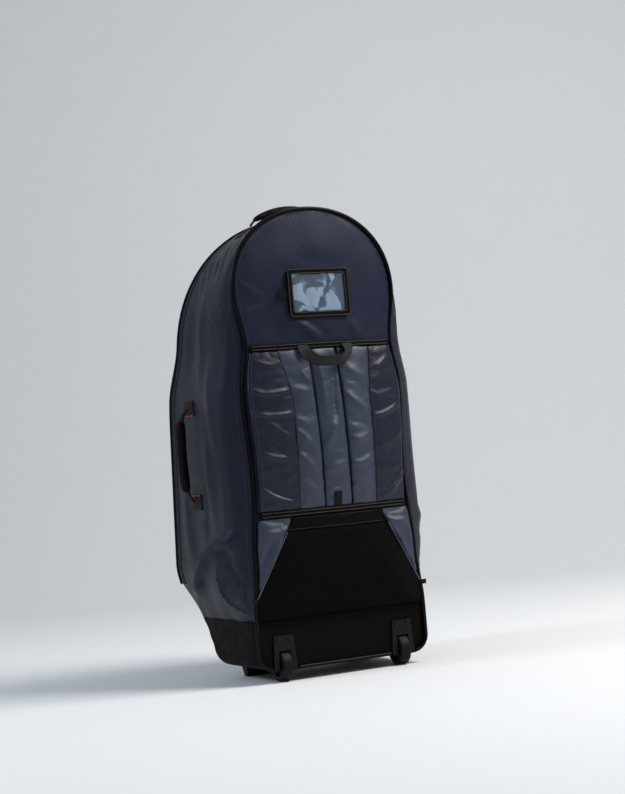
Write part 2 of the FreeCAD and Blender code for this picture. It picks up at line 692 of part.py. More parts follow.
def top_hinge_height():
    """Height of the line through the sewn ends of the top handle."""
    return arch_height(TOP_HANDLE_HALF) + PATCH_THICK + GAP + TOP_LEG_R


def top_handle_parts(outer):
    """Webbing handle with a padded grip over the arched top, sewn down at two patches."""
    patch_inner = TOP_HANDLE_HALF - TOP_PATCH_LENGTH / 4.0
    patch_outer = TOP_HANDLE_HALF + TOP_PATCH_LENGTH * 3.0 / 4.0
    half_w = TOP_HANDLE_WEB / 2.0
    raised = body_volume(-PATCH_THICK, BACK_Y, FAR).cut(outer)
    patch = raised.common(box(patch_inner, patch_outer, TOP_HANDLE_Y - half_w, TOP_HANDLE_Y + half_w,
                              SEAM_DOME_Z, BODY_TOP + FAR))
    crest = arch_height(0.0) + TOP_FINGER_GAP
    hinge_z = top_hinge_height()
    thick = V(0, 0, TOP_GRIP_THICK)
    front_y = TOP_HANDLE_Y - TOP_GRIP_WIDTH / 2.0
    middle = V(0, front_y, crest)
    left = V(-TOP_HANDLE_HALF, front_y, hinge_z)
    right = V(TOP_HANDLE_HALF, front_y, hinge_z)
    wire = Part.Wire([arc(left, middle, right), line(right, right + thick),
                      arc(left + thick, middle + thick, right + thick), line(left + thick, left)])
    grip = Part.Face(wire).extrude(V(0, TOP_GRIP_WIDTH, 0))
    grip = grip.common(box(-TOP_GRIP_HALF, TOP_GRIP_HALF, -FAR, FAR, 0, BODY_TOP + FAR))
    sag = crest - hinge_z
    arch_r = (TOP_HANDLE_HALF ** 2 + sag ** 2) / (2.0 * sag)
    grip_end_z = crest - arch_r + sqrt(arch_r ** 2 - TOP_GRIP_HALF ** 2)
    start = V(TOP_HANDLE_HALF, TOP_HANDLE_Y, hinge_z)
    end = V(TOP_GRIP_HALF - TOP_LEG_R, TOP_HANDLE_Y, grip_end_z + TOP_GRIP_THICK / 2.0)
    run = end - start
    leg = Part.makeCone(TOP_LEG_R, TOP_LEG_GRIP_R, run.Length, start, run).cut(grip)
    return {
        "top_handle_patches": both(patch),
        "top_handle_webbing": both(leg),
        "top_handle_grip": grip,
    }


def side_handle_parts():
    """Webbing handle with a tubular grip on the flat of the side, sewn down at two patches."""
    half_span = SIDE_PATCH_SPACING / 2.0
    half_w = SIDE_PATCH_WIDTH / 2.0
    half_h = SIDE_PATCH_HEIGHT / 2.0
    patch_x = SIDE_HALF + PATCH_THICK
    patches = []
    for z in (SIDE_HANDLE_Z - half_span, SIDE_HANDLE_Z + half_span):
        patches.append(box(SIDE_HALF, patch_x, SIDE_HANDLE_Y - half_w, SIDE_HANDLE_Y + half_w,
                           z - half_h, z + half_h))
    grip_x = SIDE_HALF + SIDE_FINGER_GAP + SIDE_GRIP_R
    grip_half = SIDE_GRIP_LENGTH / 2.0
    grip = Part.makeCylinder(SIDE_GRIP_R, SIDE_GRIP_LENGTH,
                             V(grip_x, SIDE_HANDLE_Y, SIDE_HANDLE_Z - grip_half))
    legs = []
    for sign in (-1.0, 1.0):
        start = V(patch_x + SIDE_LEG_R + GAP, SIDE_HANDLE_Y, SIDE_HANDLE_Z + sign * half_span)
        end = V(grip_x, SIDE_HANDLE_Y, SIDE_HANDLE_Z + sign * grip_half)
        run = end - start
        leg = Part.makeCone(SIDE_LEG_R, SIDE_LEG_GRIP_R, run.Length, start, run)
        legs.append(leg.cut(grip))
    right = {"side_handle_patches": Part.makeCompound(patches),
             "side_handle_webbing": Part.makeCompound(legs), "side_handle_grip": grip}
    parts = {}
    for name, shape in right.items():
        parts["right_" + name] = shape
        parts["left_" + name] = mirrored(shape)
    return parts


# ---------------------------------------------------------------- wheels
def housing_envelope(clearance):
    """Room that a wheel housing takes in the base."""
    half = WHEEL_WIDTH / 2.0 + WHEEL_SIDE_GAP + HOUSING_WALL + clearance
    deep = WHEEL_DEPTH + WHEEL_R + WHEEL_RIM_GAP + HOUSING_WALL + clearance
    return box(WHEEL_X - half, WHEEL_X + half, BACK_Y - clearance, BACK_Y + deep,
               BASE_BOTTOM - clearance, BASE_BOTTOM + HOUSING_HEIGHT + clearance)


def screw(x, y, z, direction):
    """Pan-head screw seated at a point, its shank running along the direction."""
    head = Part.makeCylinder(SCREW_HEAD_R, SCREW_HEAD, V(x, y, z), direction * -1.0)
    shank = Part.makeCylinder(SCREW_R, SCREW_LENGTH, V(x, y, z), direction)
    return head.fuse(shank).removeSplitter()


def plate_screws():
    """Places of the two screws of the right-hand housing plate."""
    return [(WHEEL_X + sign * (HOUSING_PLATE_TOP_HALF - SCREW_INSET), HOUSING_PLATE_TOP - SCREW_INSET)
            for sign in (-1.0, 1.0)]


def wheel_parts():
    """Housing, axle, bearings, hub and tyre of the right-hand wheel, and their mirror images."""
    half = WHEEL_WIDTH / 2.0
    slot_half = half + WHEEL_SIDE_GAP
    plate_front = BACK_Y - HOUSING_PLATE_THICK
    plate_low = BASE_BOTTOM - HOUSING_PLATE_LIP
    plate = prism_y([(WHEEL_X - HOUSING_PLATE_HALF, plate_low), (WHEEL_X + HOUSING_PLATE_HALF, plate_low),
                     (WHEEL_X + HOUSING_PLATE_TOP_HALF, HOUSING_PLATE_TOP),
                     (WHEEL_X - HOUSING_PLATE_TOP_HALF, HOUSING_PLATE_TOP)], plate_front, BACK_Y)
    housing = plate.fuse(housing_envelope(0.0))
    well = cylinder_x(WHEEL_R + WHEEL_RIM_GAP, WHEEL_X - slot_half, WHEEL_X + slot_half, WHEEL_Y, WHEEL_Z)
    mouth = box(WHEEL_X - slot_half, WHEEL_X + slot_half, -FAR, WHEEL_Y, 0.0, SLOT_TOP)
    axle_half = slot_half + HOUSING_WALL
    axle_bore = cylinder_x(AXLE_R, WHEEL_X - axle_half - AXLE_HEAD, WHEEL_X + axle_half + AXLE_HEAD,
                           WHEEL_Y, WHEEL_Z)
    housing = housing.cut(well).cut(mouth).cut(axle_bore)
    axle = cylinder_x(AXLE_R, WHEEL_X - axle_half, WHEEL_X + axle_half, WHEEL_Y, WHEEL_Z)
    for start in (WHEEL_X - axle_half - AXLE_HEAD, WHEEL_X + axle_half):
        axle = axle.fuse(cylinder_x(AXLE_HEAD_R, start, start + AXLE_HEAD, WHEEL_Y, WHEEL_Z))
    screws = []
    for x, z in plate_screws():
        screws.append(screw(x, plate_front, z, V(0, 1, 0)))
        housing = housing.cut(Part.makeCylinder(SCREW_R, SCREW_LENGTH, V(x, plate_front, z), V(0, 1, 0)))

    hub_r = WHEEL_R - TYRE_THICK
    tyre = cylinder_x(WHEEL_R, WHEEL_X - half, WHEEL_X + half, WHEEL_Y, WHEEL_Z)
    shoulder_edges = [edge for edge in tyre.Edges if isinstance(edge.Curve, Part.Circle)]
    tyre = tyre.makeFillet(TYRE_SHOULDER_R, shoulder_edges)
    tyre = tyre.cut(cylinder_x(hub_r, WHEEL_X - half, WHEEL_X + half, WHEEL_Y, WHEEL_Z))
    hub = cylinder_x(hub_r, WHEEL_X - half, WHEEL_X + half, WHEEL_Y, WHEEL_Z)
    dish_r = hub_r - HUB_RIM
    collar_r = BEARING_R + HUB_COLLAR
    for start in (WHEEL_X - half, WHEEL_X + half - HUB_DISH):
        ring = cylinder_x(dish_r, start, start + HUB_DISH, WHEEL_Y, WHEEL_Z)
        hub = hub.cut(ring.cut(cylinder_x(collar_r, start, start + HUB_DISH, WHEEL_Y, WHEEL_Z)))
    bearings = []
    for start in (WHEEL_X - half, WHEEL_X + half - BEARING_WIDTH):
        race = cylinder_x(BEARING_R, start, start + BEARING_WIDTH, WHEEL_Y, WHEEL_Z)
        hub = hub.cut(race)
        bearings.append(race.cut(cylinder_x(AXLE_R + RUNNING, start, start + BEARING_WIDTH,
                                            WHEEL_Y, WHEEL_Z)))
    hub = hub.cut(cylinder_x(AXLE_R + WHEEL_SIDE_GAP, WHEEL_X - half, WHEEL_X + half, WHEEL_Y, WHEEL_Z))
    right = {"wheel_housing": housing, "axle": axle, "wheel_bearings": Part.makeCompound(bearings),
             "wheel_hub": hub, "tyre": tyre}
    parts = {"housing_screws": both(Part.makeCompound(screws))}
    for name, shape in right.items():
        parts["right_" + name] = shape
        parts["left_" + name] = mirrored(shape)
    return parts


# ---------------------------------------------------------------- base
def feet():
    """Front foot pads, tapered towards the ground, and the screws that hold them through the base."""
    length, width = FOOT_PAD_SIZE
    y = BACK_Y + FOOT_PAD_DEPTH
    top = Part.makePolygon([V(FOOT_PAD_X + dx * length / 2.0, y + dy * width / 2.0, BASE_BOTTOM)
                            for dx, dy in ((-1, -1), (1, -1), (1, 1), (-1, 1), (-1, -1))])
    low = Part.makePolygon([V(FOOT_PAD_X + dx * (length / 2.0 - FOOT_TAPER),
                              y + dy * (width / 2.0 - FOOT_TAPER), 0.0)
                            for dx, dy in ((-1, -1), (1, -1), (1, 1), (-1, 1), (-1, -1))])
    pad = Part.makeLoft([low, top], True, True)
    floor_top = BASE_BOTTOM + COVER_THICK + GAP + TRAY_THICK
    screws = []
    for sign in (-1.0, 1.0):
        screws.append(screw(FOOT_PAD_X + sign * length / 4.0, y, floor_top, V(0, 0, -1)))
    return pad, screws


def base_parts(outer):
    """Base cover, the moulded tray inside it, and the front feet with their screws."""
    low_zone = slab(0.0, SEAM_Z)
    solid = outer.common(front_prism(0.0, 0.0))

    def hollow(inset, back):
        core = body_volume(inset, BACK_Y - FAR / 4.0, FAR).common(front_prism(inset, inset))
        return core.common(box(-FAR, FAR, BACK_Y + back, FAR, 0.0, SEAM_Z + FAR))

    cover = solid.common(low_zone).cut(hollow(COVER_THICK, COVER_THICK))
    tray_out = COVER_THICK + GAP
    tray_in = tray_out + TRAY_THICK
    tray_zone = slab(0.0, BASE_BOTTOM + TRAY_HEIGHT)
    tray = hollow(tray_out, tray_out).common(tray_zone).cut(hollow(tray_in, tray_in))
    pad, screws = feet()
    head_reach = WHEEL_WIDTH / 2.0 + WHEEL_SIDE_GAP + HOUSING_WALL + AXLE_HEAD + GAP
    heads = cylinder_x(AXLE_HEAD_R + GAP, WHEEL_X - head_reach, WHEEL_X + head_reach, WHEEL_Y, WHEEL_Z)
    wells = both(housing_envelope(GAP).fuse(heads))
    drills = []
    for x, z in plate_screws():
        drills.append(Part.makeCylinder(SCREW_R, SCREW_LENGTH + GAP, V(x, BACK_Y - GAP, z), V(0, 1, 0)))
    for item in screws:
        drills.append(item)
    holes = both(Part.makeCompound(drills))
    cover = cover.cut(wells).cut(holes)
    tray = tray.cut(wells).cut(holes)
    pad = pad.cut(Part.makeCompound(screws))
    return {
        "base_cover": cover,
        "base_tray": tray,
        "front_feet": both(pad),
        "foot_screws": both(Part.makeCompound(screws)),
    }


# ---------------------------------------------------------------- inside
def inside_parts(board_in):
    """Two upright stays behind the board and the flat tie straps sewn across the inside of the back."""
    stay_y = CROWN_AXIS_Y - sqrt((CROWN_R + board_in) ** 2 - (STAY_X + STAY_WIDTH / 2.0) ** 2)
    y0 = stay_y + GAP
    low = SEAM_Z + LOWER_CURVE
    stay = box(STAY_X - STAY_WIDTH / 2.0, STAY_X + STAY_WIDTH / 2.0, y0, y0 + STAY_THICK,
               low, low + STAY_LENGTH)
    tie_y = y0 + STAY_THICK + GAP
    ties = []
    for height in TIE_HEIGHTS:
        z = SEAM_Z + height
        ties.append(box(-TIE_HALF, TIE_HALF, tie_y, tie_y + TIE_THICK, z - TIE_WIDTH / 2.0,
                        z + TIE_WIDTH / 2.0))
    return {"back_stays": both(stay), "inner_tie_straps": Part.makeCompound(ties)}


# ---------------------------------------------------------------- zip sliders
def zip_line(z):
    """Y of the middle of the zip at a height on its straight run."""
    share = (z - FOOT_Z) / (KNEE_Z - FOOT_Z)
    y_front = BACK_Y + FOOT_DEPTH + (KNEE_DEPTH - FOOT_DEPTH) * share
    return y_front - FLANGE - TAPE - JOINT_GAP / 2.0


def slider_parts():
    """Two sliders parked together on the right-hand run of the zip, each with a hanging puller."""
    lean = degrees(atan2(KNEE_DEPTH - FOOT_DEPTH, KNEE_Z - FOOT_Z))
    seat_x = SIDE_HALF + GAP
    face_x = seat_x + SLIDER_THICK
    pin_x = face_x + GAP + PULLER_KNUCKLE_R
    half_puller = PULLER_WIDTH / 2.0
    ear_inner = half_puller + GAP
    ear_outer = ear_inner + EAR_WIDTH
    parts = {}
    for name, z in zip(("lower", "upper"), SLIDER_Z):
        y = zip_line(z)
        slider = box(seat_x, face_x, y - SLIDER_WIDTH / 2.0, y + SLIDER_WIDTH / 2.0,
                     z - SLIDER_LENGTH / 2.0, z + SLIDER_LENGTH / 2.0)
        slider.rotate(V(seat_x, y, z), V(1, 0, 0), -lean)
        for side in (-1.0, 1.0):
            low_y, high_y = sorted((y + side * ear_inner, y + side * ear_outer))
            ear = box(face_x - SLIDER_THICK / 2.0, pin_x + PULLER_PIN_R * 2.0, low_y, high_y,
                      z - PULLER_KNUCKLE_R, z + PULLER_KNUCKLE_R)
            slider = slider.fuse(ear)
        pin = Part.makeCylinder(PULLER_PIN_R, 2.0 * ear_outer, V(pin_x, y - ear_outer, z), V(0, 1, 0))
        slider = slider.fuse(pin).removeSplitter()
        knuckle = Part.makeCylinder(PULLER_KNUCKLE_R, PULLER_WIDTH, V(pin_x, y - half_puller, z), V(0, 1, 0))
        tab = box(pin_x - PULLER_THICK / 2.0, pin_x + PULLER_THICK / 2.0, y - half_puller, y + half_puller,
                  z - PULLER_LENGTH, z)
        eye = Part.makeCylinder(PULLER_PIN_R + PULLER_PIN_GAP, PULLER_WIDTH,
                                V(pin_x, y - half_puller, z), V(0, 1, 0))
        parts["zip_slider_" + name] = slider
        parts["zip_puller_" + name] = knuckle.fuse(tab).cut(eye).removeSplitter()
    return parts


def joint_places():
    """Hinge lines and directions of the moving pieces, for whoever assembles the bag."""
    lean = atan2(KNEE_DEPTH - FOOT_DEPTH, KNEE_Z - FOOT_Z)
    loop_inner = LOOP_HALF - LOOP_WEB / 2.0
    band_face_y = CROWN_AXIS_Y - sqrt((CROWN_R + BAND_THICK) ** 2 - loop_inner ** 2)
    pin_x = SIDE_HALF + GAP + SLIDER_THICK + GAP + PULLER_KNUCKLE_R
    places = {
        "wheel axle": (WHEEL_X, WHEEL_Y, WHEEL_Z),
        "door hinge": (0.0, HINGE_Y, FOOT_Z),
        "grab loop hinge": (0.0, band_face_y - LOOP_THICK / 2.0 - GAP, HIGH_BAND_Z),
        "top handle hinge": (0.0, TOP_HANDLE_Y, top_hinge_height()),
        "side handle hinge": (SIDE_HALF + PATCH_THICK + SIDE_LEG_R + GAP, SIDE_HANDLE_Y, SIDE_HANDLE_Z),
        "zip direction": (0.0, sin(lean), cos(lean)),
    }
    for name, z in zip(("lower", "upper"), SLIDER_Z):
        places["puller hinge " + name] = (pin_x, zip_line(z), z)
    return places


def build():
    """All nodes of the bag by name."""
    nodes, outer = shell_parts()
    nodes.update(back_piping())
    layers, board_in = back_layers()
    nodes.update(layers)
    nodes.update(harness_parts())
    nodes.update(lumbar_parts())
    nodes.update(id_window_parts())
    nodes.update(grab_loop())
    nodes.update(top_handle_parts(outer))
    nodes.update(side_handle_parts())
    nodes.update(wheel_parts())
    nodes.update(base_parts(outer))
    nodes.update(inside_parts(board_in))
    nodes.update(slider_parts())
    return nodes


if __name__ == "__main__":
    os.makedirs("parts", exist_ok=True)
    for node_name, node_shape in build().items():
        node_shape.exportStep("parts/%s.step" % node_name)
        print("%-28s %2d solids %9.1f cm3" % (node_name, len(node_shape.Solids), node_shape.Volume / 1000.0))
    for place_name, place in joint_places().items():
        print("%-28s (%.3f, %.3f, %.3f)" % ((place_name,) + tuple(place)))
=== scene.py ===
"""Dressed model of a wheeled snow-gear travel bag: fabric, padding, webbing, stitching and base mouldings.

Metres. +Z is up, +X is to the right of someone facing the harness, and the harness side faces -Y. Every piece
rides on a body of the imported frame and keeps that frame's places.
"""

from __future__ import annotations

import json
import logging
import math
from collections.abc import Callable, Iterable, Sequence
from dataclasses import dataclass, field
from enum import Enum

import bmesh
import bpy
import numpy as np
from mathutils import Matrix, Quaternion, Vector
from mathutils.bvhtree import BVHTree

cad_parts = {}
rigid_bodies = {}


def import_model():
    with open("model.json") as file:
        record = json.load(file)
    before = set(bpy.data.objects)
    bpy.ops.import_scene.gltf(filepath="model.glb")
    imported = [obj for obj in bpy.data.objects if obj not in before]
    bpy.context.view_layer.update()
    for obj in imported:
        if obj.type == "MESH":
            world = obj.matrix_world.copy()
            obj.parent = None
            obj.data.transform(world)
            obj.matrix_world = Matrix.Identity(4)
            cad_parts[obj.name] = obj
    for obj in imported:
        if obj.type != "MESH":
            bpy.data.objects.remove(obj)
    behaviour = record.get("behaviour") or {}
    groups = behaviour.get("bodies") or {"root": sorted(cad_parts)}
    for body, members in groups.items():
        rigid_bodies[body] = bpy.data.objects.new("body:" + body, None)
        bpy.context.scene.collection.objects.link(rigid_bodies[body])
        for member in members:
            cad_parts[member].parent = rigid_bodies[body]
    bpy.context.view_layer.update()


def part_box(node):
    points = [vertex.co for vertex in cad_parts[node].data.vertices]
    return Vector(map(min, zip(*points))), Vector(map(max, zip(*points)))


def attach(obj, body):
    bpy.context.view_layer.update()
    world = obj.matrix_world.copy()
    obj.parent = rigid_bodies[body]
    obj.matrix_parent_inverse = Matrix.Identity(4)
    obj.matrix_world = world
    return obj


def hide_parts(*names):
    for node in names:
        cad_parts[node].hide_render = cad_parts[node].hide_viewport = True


LOG = logging.getLogger("bag")
Points = np.ndarray
Solid = tuple[np.ndarray, list]
Place = Sequence[float]
Piece = bpy.types.Object
Socket = bpy.types.NodeSocket
FRAMES = 20
SIDES = ((1, "right"), (-1, "left"))
MIRROR = (-1, 1, 1)
# Stations on the outline: the seam above the base, the start of the arch, and just short of its top.
BASE_SEAM, ARCH_START, CROWN = 3.0, 6.0, 6.9999


# ---------------------------------------------------------------- small numeric helpers
def ease(t: Points) -> Points:
    """Smooth step from 0 to 1: three t squared less two t cubed, with t held between 0 and 1."""
    t = np.clip(t, 0.0, 1.0)
    return t * t * (3.0 - 2.0 * t)


def bell(distance: Points, width: float) -> Points:
    """Bell of height one: e to the minus (distance over width) squared."""
    return np.exp(-((distance / width) ** 2))


def hermite(knots: Place, values: Place, slopes: Place, at: Points) -> Points:
    """Cubic through the values with the given slopes at the knots.

    Args:
        knots: Rising places of the values.
        values: Values at the knots.
        slopes: Slopes at the knots.
        at: Places to read.

    Returns:
        The blended cubic at each place.
    """
    k, v, m = (np.asarray(a, float) for a in (knots, values, slopes))
    i = np.clip(np.searchsorted(k, at, side="right") - 1, 0, len(k) - 2)
    h = k[i + 1] - k[i]
    t = np.clip((at - k[i]) / h, 0.0, 1.0)
    return ((1 + 2 * t) * (1 - t) ** 2 * v[i] + t * (1 - t) ** 2 * h * m[i] + t * t * (3 - 2 * t) * v[i + 1]
            + t * t * (t - 1) * h * m[i + 1])


def clamped(z0: float, z1: float, z2: float, x0: float, x1: float, x2: float, at: Points) -> Points:
    """Cubic spline through three values with upright ends."""
    h0, h1 = z1 - z0, z2 - z1
    slope = 3.0 * ((x1 - x0) / h0 ** 2 + (x2 - x1) / h1 ** 2) / (2.0 * (1.0 / h0 + 1.0 / h1))
    return hermite((z0, z1, z2), (x0, x1, x2), (0.0, slope, 0.0), at)


def ripple(x: Points, y: Points, wave: float, seed: int, stretch: float = 1.0) -> Points:
    """Smooth repeatable noise of about unit height: a sum of twelve plane waves in seeded directions.

    Args:
        x: First coordinate.
        y: Second coordinate.
        wave: Typical wavelength.
        seed: Seed of the directions and phases.
        stretch: How many times longer the waves are along y.

    Returns:
        The noise at each place.
    """
    rng = np.random.default_rng(seed)
    total = np.zeros(np.broadcast(x, y).shape)
    for _ in range(12):
        turn, phase = rng.uniform(0.0, math.tau, 2)
        k = math.tau / wave * rng.uniform(0.55, 1.6)
        total += np.sin(k * (x * math.cos(turn) + y * math.sin(turn) / stretch) + phase)
    return total / 3.4


def columns(*parts: Points) -> Points:
    """Coordinates side by side, each an array or one number for all."""
    return np.stack(np.broadcast_arrays(*parts), axis=-1)


def run_along(path: Points) -> Points:
    """Length along a polyline at each of its points."""
    return np.concatenate([[0.0], np.cumsum(np.linalg.norm(np.diff(path, axis=0), axis=1))])


def evenly(fine: Points, x: Points, z: Points, pitch: float) -> Points:
    """Stations about a pitch apart on a curve, from its places at fine stations."""
    run = np.concatenate([[0.0], np.cumsum(np.hypot(np.diff(x), np.diff(z)))])
    return np.interp(np.linspace(0.0, run[-1], max(4, int(run[-1] / pitch))), run, fine)


def resample(path: Points, pitch: float) -> Points:
    """The same polyline with points about a pitch apart."""
    path = np.asarray(path, float)
    run = run_along(path)
    count = max(2, int(round(run[-1] / pitch)) + 1)
    return np.stack([np.interp(np.linspace(0.0, run[-1], count), run, path[:, i]) for i in range(3)], axis=1)


def unit(v: Points) -> Points:
    """Each vector at length one."""
    return v / np.maximum(np.linalg.norm(v, axis=-1, keepdims=True), 1e-12)


def bezier(a: Place, b: Place, c: Place, count: int) -> Points:
    """Quadratic curve from a to c that leans towards b."""
    t = np.linspace(0.0, 1.0, count)[:, None]
    return (1 - t) ** 2 * np.array(a) + 2 * t * (1 - t) * np.array(b) + t * t * np.array(c)


# ---------------------------------------------------------------- mesh helpers
def new_object(name: str, points: Points, faces: list, uv: Points | None = None) -> Piece:
    """A mesh object at the origin with smooth faces that look outward.

    Args:
        name: Object name.
        points: Vertex places.
        faces: Vertex numbers of each face.
        uv: Cloth coordinates of each vertex, in metres.

    Returns:
        The linked object.
    """
    mesh = bpy.data.meshes.new(name)
    mesh.from_pydata(np.asarray(points, float).tolist(), [], faces)
    mesh.validate()
    face_outward(mesh)
    if uv is not None and len(mesh.vertices) == len(uv):
        layer = mesh.uv_layers.new(name="cloth")
        corner = np.zeros(len(mesh.loops), np.int32)
        mesh.loops.foreach_get("vertex_index", corner)
        layer.data.foreach_set("uv", np.asarray(uv, np.float32)[corner].ravel())
    obj = bpy.data.objects.new(name, mesh)
    bpy.context.scene.collection.objects.link(obj)
    mesh.shade_smooth()
    LOG.info("%s: %d vertices", name, len(mesh.vertices))
    return obj


def face_outward(mesh: bpy.types.Mesh) -> None:
    """Turns every face of closed pieces outward."""
    bm = bmesh.new()
    bm.from_mesh(mesh)
    bmesh.ops.recalc_face_normals(bm, faces=bm.faces)
    bm.to_mesh(mesh)
    bm.free()


def grid_quads(rows: int, cols: int, first: int = 0, wrap: bool = False) -> list:
    """Quads of a grid of vertices numbered row by row; wrap joins the last column to the first."""
    r = np.arange(rows - 1)[:, None]
    c = np.arange(cols if wrap else cols - 1)[None, :]
    n = (c + 1) % cols
    quads = columns(r * cols + c, r * cols + n, (r + 1) * cols + n, (r + 1) * cols + c)
    return (quads.reshape(-1, 4) + first).tolist()


def sheet_faces(rows: int, cols: int) -> list:
    """Faces of a closed sheet: an outer grid, an inner one turned over, and the strip between their rims."""
    count = rows * cols
    rim = np.concatenate([np.arange(cols), np.arange(1, rows) * cols + cols - 1,
                          (rows - 1) * cols + np.arange(cols - 2, -1, -1), np.arange(rows - 2, 0, -1) * cols])
    after = np.roll(rim, -1)
    strip = columns(rim, after, after + count, rim + count).tolist()
    return grid_quads(rows, cols) + [f[::-1] for f in grid_quads(rows, cols, count)] + strip


def both_sides(outer: Points, inner: Points) -> Points:
    """Vertices of two grids, one after the other."""
    return np.concatenate([outer.reshape(-1, 3), inner.reshape(-1, 3)])


def shell(name: str, outer: Points, inner: Points, uv: Points | None = None) -> Piece:
    """Closed sheet between two grids of the same size, joined round their edges.

    Args:
        name: Object name.
        outer: Grid of outside points, rows by columns by three.
        inner: Grid of inside points.
        uv: Cloth coordinates of the outside grid.

    Returns:
        The linked object.
    """
    both = None if uv is None else np.concatenate([uv.reshape(-1, 2)] * 2)
    return new_object(name, both_sides(outer, inner), sheet_faces(*outer.shape[:2]), both)


def sweep(path: Points, up: Points, section: Points, closed: bool = False) -> Solid:
    """Solid of a section carried along a path.

    Args:
        path: Centre line.
        up: Direction of the section's second axis, one for all or one for each point.
        section: Closed outline as (side, up) pairs.
        closed: Whether the path runs back into its start.

    Returns:
        Vertices and faces.
    """
    path = np.asarray(path, float)
    along = np.roll(path, -1, 0) - np.roll(path, 1, 0) if closed else np.gradient(path, axis=0)
    along = unit(along)
    up = np.broadcast_to(np.asarray(up, float), path.shape)
    up = unit(up - np.sum(up * along, axis=1, keepdims=True) * along)
    side = np.cross(along, up)
    rows, cols = len(path), len(section)
    across, high = section[None, :, 0, None], section[None, :, 1, None]
    ring = path[:, None] + across * side[:, None] + high * up[:, None]
    points = ring.reshape(-1, 3)
    faces = grid_quads(rows, cols, wrap=True)
    if closed:
        last = (rows - 1) * cols
        faces += [[last + c, last + (c + 1) % cols, (c + 1) % cols, c] for c in range(cols)]
    else:
        faces += [list(range(cols))[::-1], list(range((rows - 1) * cols, rows * cols))]
    return points, faces


def round_section(radius: float, count: int = 12, flat: float = 1.0) -> Points:
    """Circle, or an ellipse that is flat times as high."""
    turn = np.linspace(0.0, math.tau, count, endpoint=False)
    return columns(radius * np.cos(turn), radius * flat * np.sin(turn))


def squared(count: int, power: float) -> Points:
    """Superellipse that reaches one unit each way: the cosine and sine to a power, with their signs kept."""
    turn = np.linspace(0.0, math.tau, count, endpoint=False)
    both = columns(np.cos(turn), np.sin(turn))
    return np.sign(both) * np.abs(both) ** power


def strap_section(width: float, thick: float, count: int = 20) -> Points:
    """Flat strap with rounded edges: a superellipse of exponent five."""
    return squared(count, 0.4) * (width / 2, thick / 2)


def merge(parts: Iterable[Solid]) -> Solid:
    """Several solids as one list of vertices and faces."""
    points, faces, first = [], [], 0
    for p, f in parts:
        points.append(p)
        faces += [[i + first for i in face] for face in f]
        first += len(p)
    return np.concatenate(points), faces


def stitches(path: Points, out: Points, pitch: float = 0.0042, length: float = 0.0030,
             radius: float = 0.00042) -> Solid:
    """A row of thread stitches: small spindles laid end to end, sunk to their middles.

    Args:
        path: Seam line on the fabric.
        out: Direction away from the fabric, for each point of the path.
        pitch: Distance from stitch to stitch.
        length: Length of a stitch.
        radius: Radius of the thread.

    Returns:
        Vertices and faces.
    """
    run = run_along(path)
    spots = np.arange(pitch / 2, run[-1], pitch)
    out = np.broadcast_to(out, path.shape)
    centre = np.stack([np.interp(spots, run, path[:, i]) for i in range(3)], axis=1)
    normal = unit(np.stack([np.interp(spots, run, out[:, i]) for i in range(3)], axis=1))
    ahead, behind = (np.stack([np.interp(spots + step, run, path[:, i]) for i in range(3)], axis=1)
                     for step in (1e-4, -1e-4))
    along = unit(ahead - behind)
    side = np.cross(along, normal)
    rings = ((-0.5, 0.35), (-0.25, 1.0), (0.25, 1.0), (0.5, 0.35))
    turn = np.linspace(0.0, math.tau, 6, endpoint=False)
    local = np.array([(a * length, r * radius * math.cos(t), r * radius * math.sin(t)) for a, r in rings
                      for t in turn])
    ahead_by, aside, above = (local[None, :, i, None] for i in range(3))
    points = (centre[:, None] + ahead_by * along[:, None] + aside * side[:, None]
              + (above + radius * 0.5) * normal[:, None])
    faces = grid_quads(4, 6, wrap=True) + [[5, 4, 3, 2, 1, 0], [18, 19, 20, 21, 22, 23]]
    whole = [[i + 24 * k for i in f] for k in range(len(centre)) for f in faces]
    return points.reshape(-1, 3), whole


def surface_tree(objects: Iterable[Piece]) -> BVHTree:
    """Search tree over the faces of several pieces."""
    points, faces, first = [], [], 0
    for obj in objects:
        points += [v.co.copy() for v in obj.data.vertices]
        faces += [[i + first for i in p.vertices] for p in obj.data.polygons]
        first += len(obj.data.vertices)
    return BVHTree.FromPolygons(points, faces)


def project(tree: BVHTree, path: Points, way: Place, back: float = 0.06) -> tuple[Points, Points]:
    """Drops a path onto pieces along a direction.

    Args:
        tree: Faces to land on.
        path: Points near the surface.
        way: Direction of travel, towards the surface.
        back: How far outside the points the travel starts.

    Returns:
        The landed points that met a face, and the outward normals there.
    """
    way = Vector(way).normalized()
    landed, normals = [], []
    for p in path:
        hit, normal, _, _ = tree.ray_cast(Vector(p) - way * back, way, back * 2.2)
        if hit is not None:
            landed.append(hit)
            normals.append(-normal if normal.dot(way) > 0 else normal)
    return np.array(landed).reshape(-1, 3), np.array(normals).reshape(-1, 3)


# ---------------------------------------------------------------- finishes
class Weave(Enum):
    """Small-scale relief of a surface."""

    PLAIN = "plain"
    RIB = "rib"
    MESH = "mesh"
    WEBBING = "webbing"
    GRAIN = "grain"


